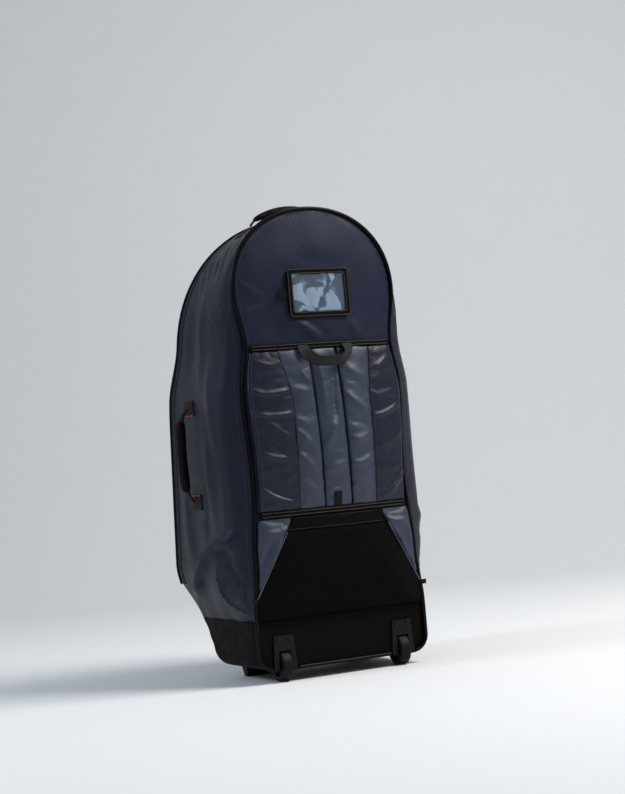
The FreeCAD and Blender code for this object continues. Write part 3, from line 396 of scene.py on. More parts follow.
@dataclass(frozen=True)
class Finish:
    """One material: its colour, gloss and small-scale relief."""

    name: str
    colour: tuple[float, float, float]
    rough: float
    weave: Weave = Weave.PLAIN
    pitch: float = 0.0012
    relief: float = 0.00010
    crinkle: float = 0.0
    crinkle_size: float = 0.03
    sheen: float = 0.0
    coat: float = 0.0
    metal: float = 0.0
    vary: float = 0.25
    specular: float = 0.5
    uv: bool = False

    def build(self) -> bpy.types.Material:
        """The material as nodes: colour varied by soft noise, roughness by fine noise, relief as bump."""
        mat = bpy.data.materials.new(self.name)
        mat.use_nodes = True
        tree = mat.node_tree
        shader = tree.nodes["Principled BSDF"]
        for socket, value in (("Metallic", self.metal), ("Sheen Weight", self.sheen),
                              ("Sheen Roughness", 0.45), ("Coat Weight", self.coat), ("Coat Roughness", 0.22),
                              ("Specular IOR Level", self.specular)):
            shader.inputs[socket].default_value = value
        place = tree.nodes.new("ShaderNodeTexCoord")
        kit = NodeKit(tree)
        cloud = kit.noise(place.outputs["Object"], 9.0, 4.0)
        speck = kit.noise(place.outputs["Object"], 900.0, 2.0)
        shade = kit.maths("MULTIPLY_ADD", cloud, 2.0 * self.vary, 1.0 - self.vary)
        shade = kit.maths("MULTIPLY", shade, kit.maths("MULTIPLY_ADD", speck, 0.5, 0.75))
        height, weave_shade = self.relief_nodes(kit, place)
        # Painted shade of the weave: the colour is darker in its hollows and lighter on its ridges.
        if weave_shade is not None:
            shade = kit.maths("MULTIPLY", shade, weave_shade)
        tint = tree.nodes.new("ShaderNodeVectorMath")
        tint.operation = "SCALE"
        tint.inputs[0].default_value = self.colour
        tree.links.new(shade, tint.inputs["Scale"])
        tree.links.new(tint.outputs["Vector"], shader.inputs["Base Color"])
        rough = kit.maths("MULTIPLY_ADD", kit.noise(place.outputs["Object"], 38.0, 5.0), 0.22,
                          self.rough - 0.11)
        tree.links.new(rough, shader.inputs["Roughness"])
        normal = kit.bump(height, self.relief, None)
        if self.crinkle > 0.0:
            folds = kit.noise(place.outputs["Object"], 1.0 / self.crinkle_size, 3.0, 1.2)
            normal = kit.bump(folds, self.crinkle, normal)
        tree.links.new(normal, shader.inputs["Normal"])
        return mat

    def relief_nodes(self, kit: "NodeKit", place: bpy.types.Node) -> tuple:
        """Height of the weave, and the painted shade that darkens the colour in its hollows and lightens it
        on its ridges, or None.
        """
        if self.weave is Weave.GRAIN:
            return kit.noise(place.outputs["Object"], 1.0 / self.pitch, 3.0), None
        if self.uv:
            source = kit.tree.nodes.new("ShaderNodeUVMap")
            source.uv_map = "cloth"
            a, b, _ = kit.split(source.outputs["UV"])
        else:
            across, deep, b = kit.split(place.outputs["Object"])
            a = across if self.weave is Weave.RIB else kit.maths("ADD", across, deep)
        turn = math.tau / self.pitch
        if self.weave is Weave.PLAIN:
            warp, weft = kit.wave(a, turn), kit.wave(b, turn)
            return kit.maths("MULTIPLY", warp, weft), None
        if self.weave is Weave.RIB:
            rib = kit.wave(a, turn)
            cross = kit.maths("MULTIPLY_ADD", kit.wave(b, turn * 2.2), 0.25, 0.0)
            return kit.maths("ADD", rib, cross), kit.maths("MULTIPLY_ADD", rib, 0.16, 1.0)
        if self.weave is Weave.WEBBING:
            slant = kit.maths("ADD", kit.maths("PINGPONG", a, self.pitch * 2.0), b)
            rib = kit.wave(slant, turn)
            return rib, kit.maths("MULTIPLY_ADD", rib, 0.18, 1.0)
        half = kit.maths("MULTIPLY", a, turn)
        rows = kit.maths("MULTIPLY", b, turn * 0.58)
        first = kit.maths("SINE", kit.maths("ADD", half, rows))
        second = kit.maths("SINE", kit.maths("SUBTRACT", half, rows))
        hole = kit.maths("MULTIPLY", first, second)
        return hole, kit.maths("MULTIPLY_ADD", hole, 0.38, 1.0)


class NodeKit:
    """Short calls that add shader nodes to one node tree."""

    def __init__(self, tree: bpy.types.NodeTree) -> None:
        """Keeps the tree that nodes are added to."""
        self.tree = tree

    def feed(self, socket: Socket, value: object) -> None:
        """Links a socket to an output, or sets its number."""
        if isinstance(value, Socket):
            self.tree.links.new(value, socket)
        else:
            socket.default_value = value

    def maths(self, operation: str, a: object, b: object = 0.0, c: object = 0.0) -> Socket:
        """Output of a Math node."""
        node = self.tree.nodes.new("ShaderNodeMath")
        node.operation = operation
        for socket, value in zip(node.inputs, (a, b, c)):
            self.feed(socket, value)
        return node.outputs[0]

    def wave(self, a: Socket, turn: float) -> Socket:
        """Sine of a coordinate times a number."""
        return self.maths("SINE", self.maths("MULTIPLY", a, turn))

    def split(self, vector: Socket) -> tuple:
        """The three parts of a vector."""
        node = self.tree.nodes.new("ShaderNodeSeparateXYZ")
        self.tree.links.new(vector, node.inputs[0])
        return tuple(node.outputs)

    def noise(self, place: Socket, scale: float, detail: float, warp: float = 0.0) -> Socket:
        """Height of a noise texture."""
        node = self.tree.nodes.new("ShaderNodeTexNoise")
        node.inputs["Scale"].default_value = scale
        node.inputs["Detail"].default_value = detail
        node.inputs["Distortion"].default_value = warp
        self.tree.links.new(place, node.inputs["Vector"])
        return node.outputs[0]

    def bump(self, height: object, depth: float, under: object) -> Socket:
        """Normal of a bump of that depth, on top of another normal where one is given."""
        node = self.tree.nodes.new("ShaderNodeBump")
        node.inputs["Strength"].default_value = 1.0
        node.inputs["Distance"].default_value = depth
        self.tree.links.new(height, node.inputs["Height"])
        if under is not None:
            self.tree.links.new(under, node.inputs["Normal"])
        return node.outputs["Normal"]


SHELL = Finish("shell_cloth", (0.0078, 0.0092, 0.0205), 0.38, Weave.PLAIN, 0.0016, 0.00010, 0.0006, 0.055,
               0.01, 0.04, specular=0.20, uv=True)
BACK = Finish("ribbed_cloth", (0.0125, 0.0158, 0.0335), 0.44, Weave.RIB, 0.0036, 0.00012, 0.0006, 0.07, 0.02,
              specular=0.14)
PADDING = Finish("padding_cloth", (0.0078, 0.0096, 0.0225), 0.38, Weave.PLAIN, 0.0016, 0.00005, 0.0003, 0.060,
                 0.01, 0.03, specular=0.27)
STRAP = Finish("strap_cloth", (0.0185, 0.0262, 0.0530), 0.46, Weave.PLAIN, 0.0016, 0.00005, 0.0008, 0.060,
               0.02, 0.02, specular=0.50)
BASE = Finish("base_cloth", (0.0024, 0.0018, 0.0013), 0.55, Weave.PLAIN, 0.0014, 0.00010, 0.0006, 0.06,
              vary=0.3, specular=0.06)
BAND = Finish("smooth_band", (0.0022, 0.0020, 0.0024), 0.55, Weave.PLAIN, 0.0012, 0.00006, specular=0.06)
MESH = Finish("air_mesh", (0.0026, 0.0024, 0.0028), 0.80, Weave.MESH, 0.0058, 0.00060, sheen=0.01, vary=0.15,
              specular=0.05)
WEBBING = Finish("webbing", (0.0048, 0.0042, 0.0040), 0.60, Weave.WEBBING, 0.0022, 0.00020, sheen=0.03,
                 specular=0.12, uv=True)
LOOP = Finish("loop_webbing", (0.0215, 0.0210, 0.0205), 0.60, Weave.WEBBING, 0.0022, 0.00020, sheen=0.03,
              specular=0.14, uv=True)
CORD = Finish("piping", (0.0020, 0.0020, 0.0026), 0.36, Weave.GRAIN, 0.0020, 0.00008, specular=0.12)
GRIP = Finish("grip_sleeve", (0.0030, 0.0027, 0.0027), 0.55, Weave.GRAIN, 0.0018, 0.00022, specular=0.08)
EDGING = Finish("edging", (0.080, 0.088, 0.105), 0.5, Weave.GRAIN, 0.0016, 0.00010)
THREAD = Finish("thread", (0.200, 0.175, 0.125), 0.6, Weave.GRAIN, 0.0004, 0.00005)
DARK_THREAD = Finish("dark_thread", (0.050, 0.056, 0.080), 0.6, Weave.GRAIN, 0.0004, 0.00005)
WARM_THREAD = Finish("warm_thread", (0.12, 0.018, 0.007), 0.6, Weave.GRAIN, 0.0004, 0.00005)
BARTACK = Finish("bartack_thread", (0.42, 0.034, 0.020), 0.55, Weave.GRAIN, 0.0005, 0.00010)
MOULDING = Finish("moulding", (0.0105, 0.0072, 0.0046), 0.46, Weave.GRAIN, 0.0011, 0.00012, vary=0.12,
                  specular=0.12)
TYRE = Finish("tyre", (0.0040, 0.0040, 0.0052), 0.55, Weave.GRAIN, 0.0022, 0.00010, vary=0.2, specular=0.16)
STEEL = Finish("zinc_steel", (0.45, 0.45, 0.46), 0.34, Weave.GRAIN, 0.0008, 0.00004, metal=1.0, vary=0.1)
BLACK_STEEL = Finish("blackened_steel", (0.0080, 0.0066, 0.0056), 0.40, Weave.GRAIN, 0.0008, 0.00004,
                     vary=0.1, specular=0.2)
ALUMINIUM = Finish("aluminium", (0.62, 0.62, 0.63), 0.40, Weave.GRAIN, 0.0016, 0.00003, metal=1.0, vary=0.08)
ZIP_METAL = Finish("black_enamel", (0.0050, 0.0050, 0.0055), 0.30, Weave.GRAIN, 0.0030, 0.00003, coat=0.2,
                   vary=0.1, specular=0.3)
BOARD = Finish("board", (0.035, 0.035, 0.036), 0.50, Weave.GRAIN, 0.0030, 0.00020, vary=0.1)
CARD = Finish("dark_card", (0.0045, 0.0050, 0.0065), 0.55, Weave.GRAIN, 0.0010, 0.00002, vary=0.15,
              specular=0.08)


def clear_vinyl() -> bpy.types.Material:
    """Clear flexible vinyl: a thin glossy film whose colour is a painted blue sky reflection, paler, less
    clear and a little rougher in patches that follow its creases.
    """
    mat = bpy.data.materials.new("clear_vinyl")
    mat.use_nodes = True
    kit = NodeKit(mat.node_tree)
    shader = mat.node_tree.nodes["Principled BSDF"]
    shader.inputs["Coat Weight"].default_value = 1.0
    shader.inputs["Coat Roughness"].default_value = 0.05
    place = mat.node_tree.nodes.new("ShaderNodeTexCoord")
    wave = kit.noise(place.outputs["Object"], 19.0, 1.5, 1.6)
    # Painted reflection: patches of pale-blue sky reflection in the film's colour, taken from the crease
    # noise.
    reflection_patches = kit.maths("MINIMUM", kit.maths("MAXIMUM", kit.maths("MULTIPLY_ADD", wave, 14.0, -6.8), 0.0), 1.0)
    ramp = mat.node_tree.nodes.new("ShaderNodeMix")
    ramp.data_type = "RGBA"
    ramp.inputs[6].default_value = (0.115, 0.155, 0.215, 1.0)
    ramp.inputs[7].default_value = (0.27, 0.36, 0.48, 1.0)
    mat.node_tree.links.new(reflection_patches, ramp.inputs[0])
    mat.node_tree.links.new(ramp.outputs[2], shader.inputs["Base Color"])
    kit.feed(shader.inputs["Alpha"], kit.maths("MULTIPLY_ADD", reflection_patches, 0.38, 0.42))
    kit.feed(shader.inputs["Roughness"], kit.maths("MULTIPLY_ADD", reflection_patches, 0.12, 0.08))
    kit.feed(shader.inputs["Normal"], kit.bump(wave, 0.0015, None))
    return mat


class Paints:
    """Finishes that are built once and shared."""

    def __init__(self) -> None:
        """Starts with none built."""
        self.built: dict[str, bpy.types.Material] = {}

    def of(self, finish: Finish) -> bpy.types.Material:
        """The material of a finish."""
        if finish.name not in self.built:
            self.built[finish.name] = finish.build()
        return self.built[finish.name]

    def put(self, obj: Piece, finish: Finish) -> None:
        """Gives a piece one finish all over."""
        obj.data.materials.clear()
        obj.data.materials.append(self.of(finish))

    def dress(self, obj: Piece, finish: Finish, body: str, slot: str, *nodes: str,
              fill: float | None = None) -> Piece:
        """Finishes a piece, puts it on the body it rides on and hides the nodes of the solid model it stands
        for.

        Args:
            obj: The piece.
            finish: Its finish.
            body: Body that it rides on.
            slot: Material slot; not used.
            nodes: Nodes of the solid model that it stands for.
            fill: Share of its thickness that is padding, for a padded piece; not used.

        Returns:
            The piece.
        """
        self.put(obj, finish)
        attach(obj, body)
        if nodes:
            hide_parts(*nodes)
        return obj


# ---------------------------------------------------------------- shape of the bag
@dataclass(frozen=True)
class Outline:
    """Arched outline of the bag in an upright plane."""

    base: float
    hip: float
    loin: float
    mid: float
    waist: float
    waist_z: float
    dome: float
    dome_z: float
    top: float


@dataclass(frozen=True)
class Form:
    """Surfaces of the filled bag. Stations run from 0 under the middle to 7 at the top of the arch."""

    back: float = -0.139
    low: float = 0.027
    corner: float = 0.034
    seam_z: float = 0.130
    hip_z: float = 0.250
    loin_z: float = 0.385
    mid_z: float = 0.600
    power: float = 2.15
    full: float = 0.055
    swell: float = 2.49
    crown_drop: float = 0.012
    front_end: float = 0.214
    hinge_z: float = 0.204
    zip_back: float = 0.028
    seam: Outline = Outline(0.197, 0.187, 0.177, 0.184, 0.171, 0.704, 0.186, 0.806, 0.981)
    body: Outline = Outline(0.203, 0.230, 0.230, 0.230, 0.2225, 0.660, 0.215, 0.720, 0.975)
    crown_rise: float = 0.024
    lower_rise: float = 0.004
    lower_run: float = 0.205
    lower_belly: float = 0.0035
    flat_z: tuple[float, ...] = (0.027, 0.072, 0.204, 0.545)
    flat_y: tuple[float, ...] = (0.073, 0.090, 0.192, 0.156)
    brow_z: tuple[float, ...] = (0.545, 0.728, 0.897, 0.985)
    brow_y: tuple[float, ...] = (0.156, 0.111, 0.051, -0.006)
    brow_slope: tuple[float, ...] = (-0.1056, -0.29, -0.49, -0.66)

    def at(self, shape: Outline, station: Points) -> tuple[Points, Points]:
        """Half width and height of an outline at a station from 0 to 7.

        A floor, a quarter-round corner, an upright base side, an eased hip, two spline flanks and a
        superellipse arch follow each other, one for each whole number of the station.
        """
        s = np.asarray(station, float)
        whole = np.floor(np.minimum(s, 6.999))
        t, k = s - whole, whole.astype(int)
        bend = t * math.pi / 2
        arch = (np.cos(bend) ** self.power + np.abs(np.sin(bend)) ** self.power) ** (-1.0 / self.power)
        z_up = (self.low + self.corner, self.seam_z, self.hip_z, self.mid_z, shape.dome_z)
        parts = [k == i for i in range(6)]
        z = np.select(parts,
                      [self.low + 0 * t, self.low + self.corner * (1 - np.cos(bend)),
                       z_up[0] + (z_up[1] - z_up[0]) * t, z_up[1] + (z_up[2] - z_up[1]) * t,
                       z_up[2] + (z_up[3] - z_up[2]) * t, z_up[3] + (z_up[4] - z_up[3]) * t],
                       shape.dome_z + (shape.top - shape.dome_z) * arch * np.sin(bend))
        flank = clamped(self.hip_z, self.loin_z, self.mid_z, shape.hip, shape.loin, shape.mid, z)
        shoulder = clamped(self.mid_z, shape.waist_z, shape.dome_z, shape.mid, shape.waist, shape.dome, z)
        x = np.select(parts, [(shape.base - self.corner) * t, shape.base - self.corner * (1 - np.sin(bend)),
                              shape.base + 0 * t, shape.base + (shape.hip - shape.base) * ease(t),
                              flank, shoulder], shape.dome * arch * np.cos(bend))
        return x, z

    def skin(self, station: Points, y: Points) -> tuple[Points, Points]:
        """Half width and height of the body at a station and a depth: the seam outline swells outward.

        The share of the swelling is 1 less (1 less depth over full depth) to the power swell, and the arch
        then falls evenly towards the front.
        """
        xs, zs = self.at(self.seam, station)
        xb, zb = self.at(self.body, station)
        share = 1.0 - (1.0 - np.clip((y - self.back) / self.full, 0.0, 1.0)) ** self.swell
        ahead = np.clip((y - self.back - self.full) / (self.front_end - self.back - self.full), 0.0, 1.0)
        arch = np.clip((zb - self.body.dome_z) / (self.body.top - self.body.dome_z), 0.0, 1.0)
        return xs + (xb - xs) * share, zs + (zb - zs) * share - self.crown_drop * ahead * arch

    def front(self, z: Points) -> Points:
        """Depth of the front at a height: three straight runs, then a curve over the brow to the crown."""
        straight = np.interp(z, self.flat_z, self.flat_y)
        brow = self.brow_z[0]
        return np.where(z > brow, hermite(self.brow_z, self.brow_y, self.brow_slope, np.maximum(z, brow)),
                        straight)

    def panel(self, x: Points, z: Points, out: Points = 0.0) -> Points:
        """Depth of the crowned back panel, set out by a distance: a cylinder that becomes a ball at the arch.

        Below the harness an arc of shallow rise holds it back towards the base.
        """
        radius = (self.seam.dome ** 2 + self.crown_rise ** 2) / (2 * self.crown_rise)
        axis = self.back - self.crown_rise + radius
        over = np.maximum(z - self.seam.dome_z, 0.0)
        crown = axis - np.sqrt((radius + out) ** 2 - np.minimum(x ** 2 + over ** 2, 0.3))
        t = np.clip((z - self.seam_z) / self.lower_run, 0.0, 1.0)
        held = self.back - self.crown_rise - out + (self.crown_rise - self.lower_rise) * (1 - t) \
            - 4.0 * self.lower_belly * t * (1 - t)
        return np.maximum(crown, held)

    def seam_half(self, z: Points) -> Points:
        """Half width of the back seam at a height below the arch."""
        s = np.linspace(1.0, 6.98, 900)
        x, height = self.at(self.seam, s)
        return np.interp(z, height, x)


# ---------------------------------------------------------------- folds
@dataclass(frozen=True)
class Fold:
    """One soft fold on a cloth: a curved ridge, or a crease where its height is below zero."""

    start: tuple[float, float]
    lean: tuple[float, float]
    end: tuple[float, float]
    height: float
    width: float

    def lift(self, a: Points, b: Points) -> Points:
        """Height of the fold at cloth places: a bell across it, and a rounded fade towards its ends."""
        line = bezier(self.start, self.lean, self.end, 25)
        near = np.full(a.shape, 1e9)
        where = np.zeros(a.shape)
        for i, (p, q) in enumerate(line):
            gap = np.hypot(a - p, b - q)
            closer = gap < near
            near = np.where(closer, gap, near)
            where = np.where(closer, i / 24.0, where)
        return self.height * bell(near, self.width) * np.sin(math.pi * np.clip(where, 0.03, 0.97)) ** 0.6


def drawn_folds(rows: Sequence[Place]) -> tuple[Fold, ...]:
    """Folds from rows in millimetres: where each starts, leans to and ends, then its height and width."""
    metres = (np.array(rows) / 1000.0).tolist()
    return tuple(Fold((a, b), (c, d), (e, f), high, wide) for a, b, c, d, e, f, high, wide in metres)


def lift_of(folds: Iterable[Fold], a: Points, b: Points) -> Points:
    """Sum of several folds at cloth places."""
    total = np.zeros(a.shape)
    for one in folds:
        total += one.lift(a, b)
    return total


def outward(grid: Points, centre: Place) -> Points:
    """Unit normals of a grid of points, facing away from a centre."""
    n = unit(np.cross(np.gradient(grid, axis=0), np.gradient(grid, axis=1)))
    facing = np.sum(n * (grid - np.array(centre)), axis=-1)
    return n if np.median(facing) > 0 else -n


# ---------------------------------------------------------------- shell
GUSSET_FOLDS = drawn_folds([
    (-128, 300, -30, 312, 135, 176, 15, 15),
    (-112, 262, -80, 275, -46, 268, -6, 11),
    (-128, 146, -62, 172, -34, 236, 12.5, 7.5),
    (-116, 182, -92, 225, -66, 262, -17.5, 17),
    (-85, 470, -70, 560, -78, 690, 3, 18),
    (-45, 330, -30, 420, -40, 520, 2.8, 16),
    (-10, 300, 0, 340, -10, 400, -2.5, 14),
    (-115, 560, -85, 680, -100, 800, -2.2, 15),
    (-30, 620, -10, 720, -40, 830, 3.2, 18),
    (30, 640, 40, 720, 10, 800, -2.8, 20),
    (90, 250, 110, 330, 95, 450, 2.6, 20),
    (-120, 745, -90, 760, -55, 800, 2.2, 8),
])


@dataclass(frozen=True)
class Shell:
    """Gussets, front door, zip and piping of the bag."""

    form: Form
    paints: Paints
    wall: float = 0.004
    sheet: float = 0.005
    pitch: float = 0.0068
    round_front: float = 0.008
    cord: float = 0.0030
    back_cord_radius: float = 0.0038
    handle_at: tuple[float, float] = (0.037, 0.483)
    handle_clear: tuple[float, float] = (0.028, 0.118)
    patch_at: tuple[float, float] = (0.103, -0.052)
    patch_clear: tuple[float, float] = (0.028, 0.020)
    soft: float = 0.0013
    slant: float = 0.0016
    pucker: float = 0.0009
    lip: float = 0.0011
    groove: float = 0.0005
    drawn: float = 1.5
    calm: float = 0.30
    bulge: float = 0.0075
    slack: float = 0.0020

    def stations(self, first: float, last: float) -> Points:
        """Stations about a pitch apart between two of them, with a close pair at the door's lower end."""
        fine = np.linspace(first, last, 4000)
        x, z = self.form.at(self.form.body, fine)
        s = evenly(fine, x, z, self.pitch)
        step = self.hinge_station()
        if first < step < last:
            s = np.sort(np.concatenate([s[np.abs(s - step) > 0.03], [step - 0.001, step + 0.001]]))
        return s

    def hinge_station(self) -> float:
        """Station of the door's lower end, between the base seam and the hip."""
        f = self.form
        return BASE_SEAM + (f.hinge_z - f.seam_z) / (f.hip_z - f.seam_z)

    def band(self, first: float, start: Callable, end: Callable,
             spread: Points) -> tuple[Points, Points, Points]:
        """Grid on the body's skin, up one side and down the other, between two depths.

        Args:
            first: Station of its lower ends.
            start: Depth of its first edge at a height.
            end: Depth of its other edge at a height.
            spread: Shares of the way between them, one for each column.

        Returns:
            Points, share of the way across and side of each.
        """
        s = self.stations(first, CROWN)
        s = np.concatenate([s, s[::-1]])
        side = np.concatenate([np.ones(len(s) // 2), -np.ones(len(s) // 2)])
        _, z = self.form.at(self.form.body, s)
        v = np.broadcast_to(spread[None, :], (len(s), len(spread)))
        for _ in range(3):
            y = start(z)[:, None] * (1 - v) + end(z)[:, None] * v
            x, height = self.form.skin(s[:, None] + 0 * v, y)
            z = height[:, -1]
        grid = columns(x * side[:, None], y, height)
        return grid, v, np.broadcast_to(side[:, None], v.shape)

    def run_of(self, grid: Points) -> Points:
        """Length along the rows of a grid, for cloth coordinates."""
        return run_along(grid[:, grid.shape[1] // 2])

    def cloth_uv(self, grid: Points) -> Points:
        """Cloth coordinates of a grid: length along its rows, and depth."""
        return columns(grid[..., 1], self.run_of(grid)[:, None])

    def gusset(self) -> Piece:
        """Side and top gussets in one foam-lined band, with soft folds, seam puckers and the drawn folds."""
        f = self.form
        grid, v, side = self.band(BASE_SEAM, lambda z: f.back + 0 * z,
                                  lambda z: f.front(z)
                                  - np.where(z > f.hinge_z, f.zip_back, self.round_front),
                                  np.linspace(0.0, 1.0, 52) ** 1.15)
        y, z = grid[..., 1], grid[..., 2]
        run = np.broadcast_to(self.run_of(grid)[:, None], y.shape)
        from_seam = y - f.back
        free = ease((from_seam - 0.006) / 0.03) * ease((1.0 - v) * 6.0)
        (handle_y, handle_z), (clear_y, clear_z) = self.handle_at, self.handle_clear
        handle = ease((np.abs(z - handle_z) - clear_z) / 0.03) + ease((np.abs(y - handle_y) - clear_y) / 0.03)
        free = free * np.clip(handle, 0.0, 1.0)
        (patch_x, patch_y), (clear_x, clear_y) = self.patch_at, self.patch_clear
        patch = ease((np.abs(np.abs(grid[..., 0]) - patch_x) - clear_x) / 0.02) \
            + ease((np.abs(y - patch_y) - clear_y) / 0.02)
        free = free * np.where(z > 0.9, np.clip(patch, 0.0, 1.0), 1.0)
        soft = self.soft * ripple(y + 0.03 * side, run, 0.120, 11, 3.2)
        slant = self.slant * ripple(y + 0.35 * run, run, 0.040, 13, 3.0) * ease((z - 0.80) / 0.08)
        left, right = lift_of(GUSSET_FOLDS, y, z), self.calm * lift_of(GUSSET_FOLDS, y + 0.012, z - 0.014)
        drawn = self.drawn * np.where(side < 0, left, right)
        pucker = self.pucker * np.sin(math.tau * run / 0.019 + 2.0 * ripple(run, y, 0.09, 14))
        lift = free * (soft + slant + drawn) + pucker * bell(from_seam - 0.009,
                                                             0.013) * ease(from_seam / 0.004)
        lift = lift + self.lip * (1.0 - ease((from_seam - 0.0065) / 0.002)) \
            - self.groove * bell(from_seam - 0.0095, 0.0015)
        normal = outward(grid, (0.0, 0.0, 0.5))
        outer = grid + normal * lift[..., None]
        obj = shell("gusset", outer, outer - normal * self.wall, self.cloth_uv(grid))
        return self.paints.dress(obj, SHELL, "bag", "shell_fabric", "left_side_gusset", "right_side_gusset",
                                 "top_gusset", fill=0.25)

    def front_grid(self, first: float, last: float, inset: float, cols: int,
                   pitch: float) -> tuple[Points, Points]:
        """Grid over the front between two stations, and the share across of each point, from -1 to 1."""
        f = self.form
        fine = np.linspace(first, last, 3000)
        x, z = f.skin(fine, f.front(f.at(f.body, fine)[1]))
        s = evenly(fine, x, z, pitch)
        half, z = f.skin(s, f.front(f.at(f.body, s)[1]))
        half = np.maximum(half - inset, 0.0004)
        u = np.sin(np.linspace(-1.0, 1.0, cols) * math.pi / 2 * 0.8) / math.sin(math.pi / 2 * 0.8)
        grid = columns(half[:, None] * u, f.front(z)[:, None], z[:, None])
        return grid, np.broadcast_to(u, grid.shape[:2])

    def lower_front(self) -> Piece:
        """Short front panel between the base and the door, rounded round to the gussets."""
        grid, _ = self.front_grid(BASE_SEAM, self.hinge_station() - 0.002, 0.0, 90, self.pitch)
        half = np.abs(grid[:, -1:, 0])
        over = np.clip((np.abs(grid[..., 0]) - (half - self.round_front)) / self.round_front, 0.0, 1.0)
        grid[..., 1] -= self.round_front * (1.0 - np.sqrt(1.0 - over ** 2))
        grid[..., 1] += 0.0011 * ripple(grid[..., 0], grid[..., 2], 0.06, 21, 0.6) * (1 - over)
        inner = grid - np.array((0.0, self.sheet, 0.0))
        inner[..., 0] *= 1.0 - self.wall / half
        obj = shell("lower_front", grid, inner, grid[..., (0, 2)])
        return self.paints.dress(obj, SHELL, "bag", "shell_fabric", "lower_front_panel", fill=0.25)

    def door(self) -> Piece:
        """Foam-lined front door, gently crowned, with slack folds across it."""
        grid, u = self.front_grid(self.hinge_station() + 0.006, 6.996, 0.0044, 78, self.pitch)
        x, z = grid[..., 0], grid[..., 2]
        rise = (z - z.min()) / (z.max() - z.min())
        free = (1 - u ** 4) * np.sin(math.pi * np.clip(rise, 0.0, 1.0)) ** 0.5
        lift = self.bulge * (1 - u ** 2) * np.sin(math.pi * rise) ** 0.7
        lift = lift + free * (self.slack * ripple(x, z, 0.085, 31, 1.8) + 0.0007
                              * ripple(x, z, 0.030, 32, 1.2))
        edge = np.abs(x[:, -1:]) - np.abs(x)
        lift = lift + 0.0006 * np.sin(math.tau * z / 0.021 + ripple(x, z, 0.08, 33)) * bell(edge - 0.010,
                                                                                            0.010)
        outer = grid + columns(0 * lift, lift, 0 * lift)
        inner = outer - np.array((0.0, self.sheet, 0.0))
        obj = shell("door", outer, inner, grid[..., (0, 2)])
        return self.paints.dress(obj, SHELL, "door", "shell_fabric", "door_panel", fill=0.25)

    def strip(self, name: str, body: str, node: str, slot: str, finish: Finish, near: float, far: float,
              drop: float, thick: float, cols: int) -> Piece:
        """Narrow band round the door's edge, between two distances behind the front.

        Args:
            name: Piece name.
            body: Body that it rides on.
            node: Node that it stands for.
            slot: Material slot.
            finish: Its finish.
            near: Distance of its front edge behind the front.
            far: Distance of its back edge behind the front.
            drop: How far it lies under the skin.
            thick: Its thickness.
            cols: Columns of points across it.

        Returns:
            The piece.
        """
        f = self.form
        first = self.hinge_station() + 0.006
        grid, v, _ = self.band(first, lambda z: f.front(z) - far, lambda z: f.front(z) - near,
                               np.linspace(0.0, 1.0, cols))
        normal = outward(grid, (0.0, 0.0, 0.5))
        run = np.broadcast_to(self.run_of(grid)[:, None], v.shape)
        wrinkle = 0.0005 * np.sin(math.tau * run / 0.023 + ripple(run, v, 0.1, 41)) * np.sin(math.pi * v)
        outer = grid + normal * (wrinkle * (thick > 0.002) - drop)[..., None]
        obj = shell(name, outer, outer - normal * thick, self.cloth_uv(grid))
        return self.paints.dress(obj, finish, body, slot, node)

    def rim_path(self, behind: float, out: float) -> tuple[Points, Points]:
        """Line round the door's edge, a distance behind the front and out from the skin, and its normals."""
        f = self.form
        first = self.hinge_station() + 0.008
        grid, _, _ = self.band(first, lambda z: f.front(z) - behind - 0.0005,
                               lambda z: f.front(z) - behind + 0.0005, np.linspace(0.0, 1.0, 3))
        normal = outward(grid, (0.0, 0.0, 0.5))
        return grid[:, 1] + normal[:, 1] * out, normal[:, 1]

    def zips(self) -> None:
        """Zip tapes on the bag and the door, with their coils, and the piping along the door's front edge."""
        for body, name, near, far, mid in (("door", "door_zip", 0.0220, 0.0246, 0.0240),
                                           ("bag", "body_zip", 0.0254, 0.0280, 0.0260)):
            tape = self.strip(name, body, f"{body if body == 'door' else 'body'}_zip_tape", "webbing",
                              WEBBING, near, far, 0.0004, 0.0012, 4)
            path, normal = self.rim_path(mid, -0.0002)
            coil = new_object(f"{name}_coil", *stitches(path, normal, 0.0025, 0.0020, 0.00075))
            self.paints.dress(coil, ZIP_METAL, body, "webbing")
            LOG.info("%s ready", tape.name)
        path, normal = self.rim_path(0.0030, 0.0003)
        cord = new_object("door_cord",
                          *sweep(resample(path, 0.006), (0.0, 1.0, 0.0), round_section(self.cord)))
        self.paints.dress(cord, CORD, "door", "piping", "door_piping")

    def back_cord(self) -> Piece:
        """Piping round the back seam, broken where the wheel housings stand."""
        f = self.form
        s = np.linspace(0.0, CROWN, 1400)
        x, z = f.at(f.seam, s)
        right = columns(x, f.back - 0.0035, z)
        outer = right[(x > 0.1665) | (z > 0.07)]
        inner = right[(x < 0.1115) & (z < 0.03)]
        arch = np.concatenate([outer, (outer * MIRROR)[::-1]])
        floor = np.concatenate([(inner * MIRROR)[::-1], inner])
        section = round_section(self.back_cord_radius, 12, 0.92)
        cord = new_object("back_cord",
                          *merge([sweep(resample(p, 0.006), (0.0, -1.0, 0.0), section)
                                  for p in (arch, floor)]))
        return self.paints.dress(cord, CORD, "bag", "piping", "back_piping")

    def build(self) -> Piece:
        """Makes the whole shell and returns the gusset."""
        gusset = self.gusset()
        self.lower_front()
        self.door()
        border = self.strip("door_border_skin", "door", "door_border", "shell_fabric", SHELL, 0.0, 0.0218,
                            0.0, 0.0038, 8)
        self.zips()
        self.back_cord()
        return gusset


# ---------------------------------------------------------------- padded pieces
CLOTH = {"quality": 4, "mass": 0.25, "tension_stiffness": 18.0, "compression_stiffness": 18.0,
         "shear_stiffness": 6.0, "bending_stiffness": 0.35, "air_damping": 3.0, "use_pressure": True,
         "uniform_pressure_force": 4.0}


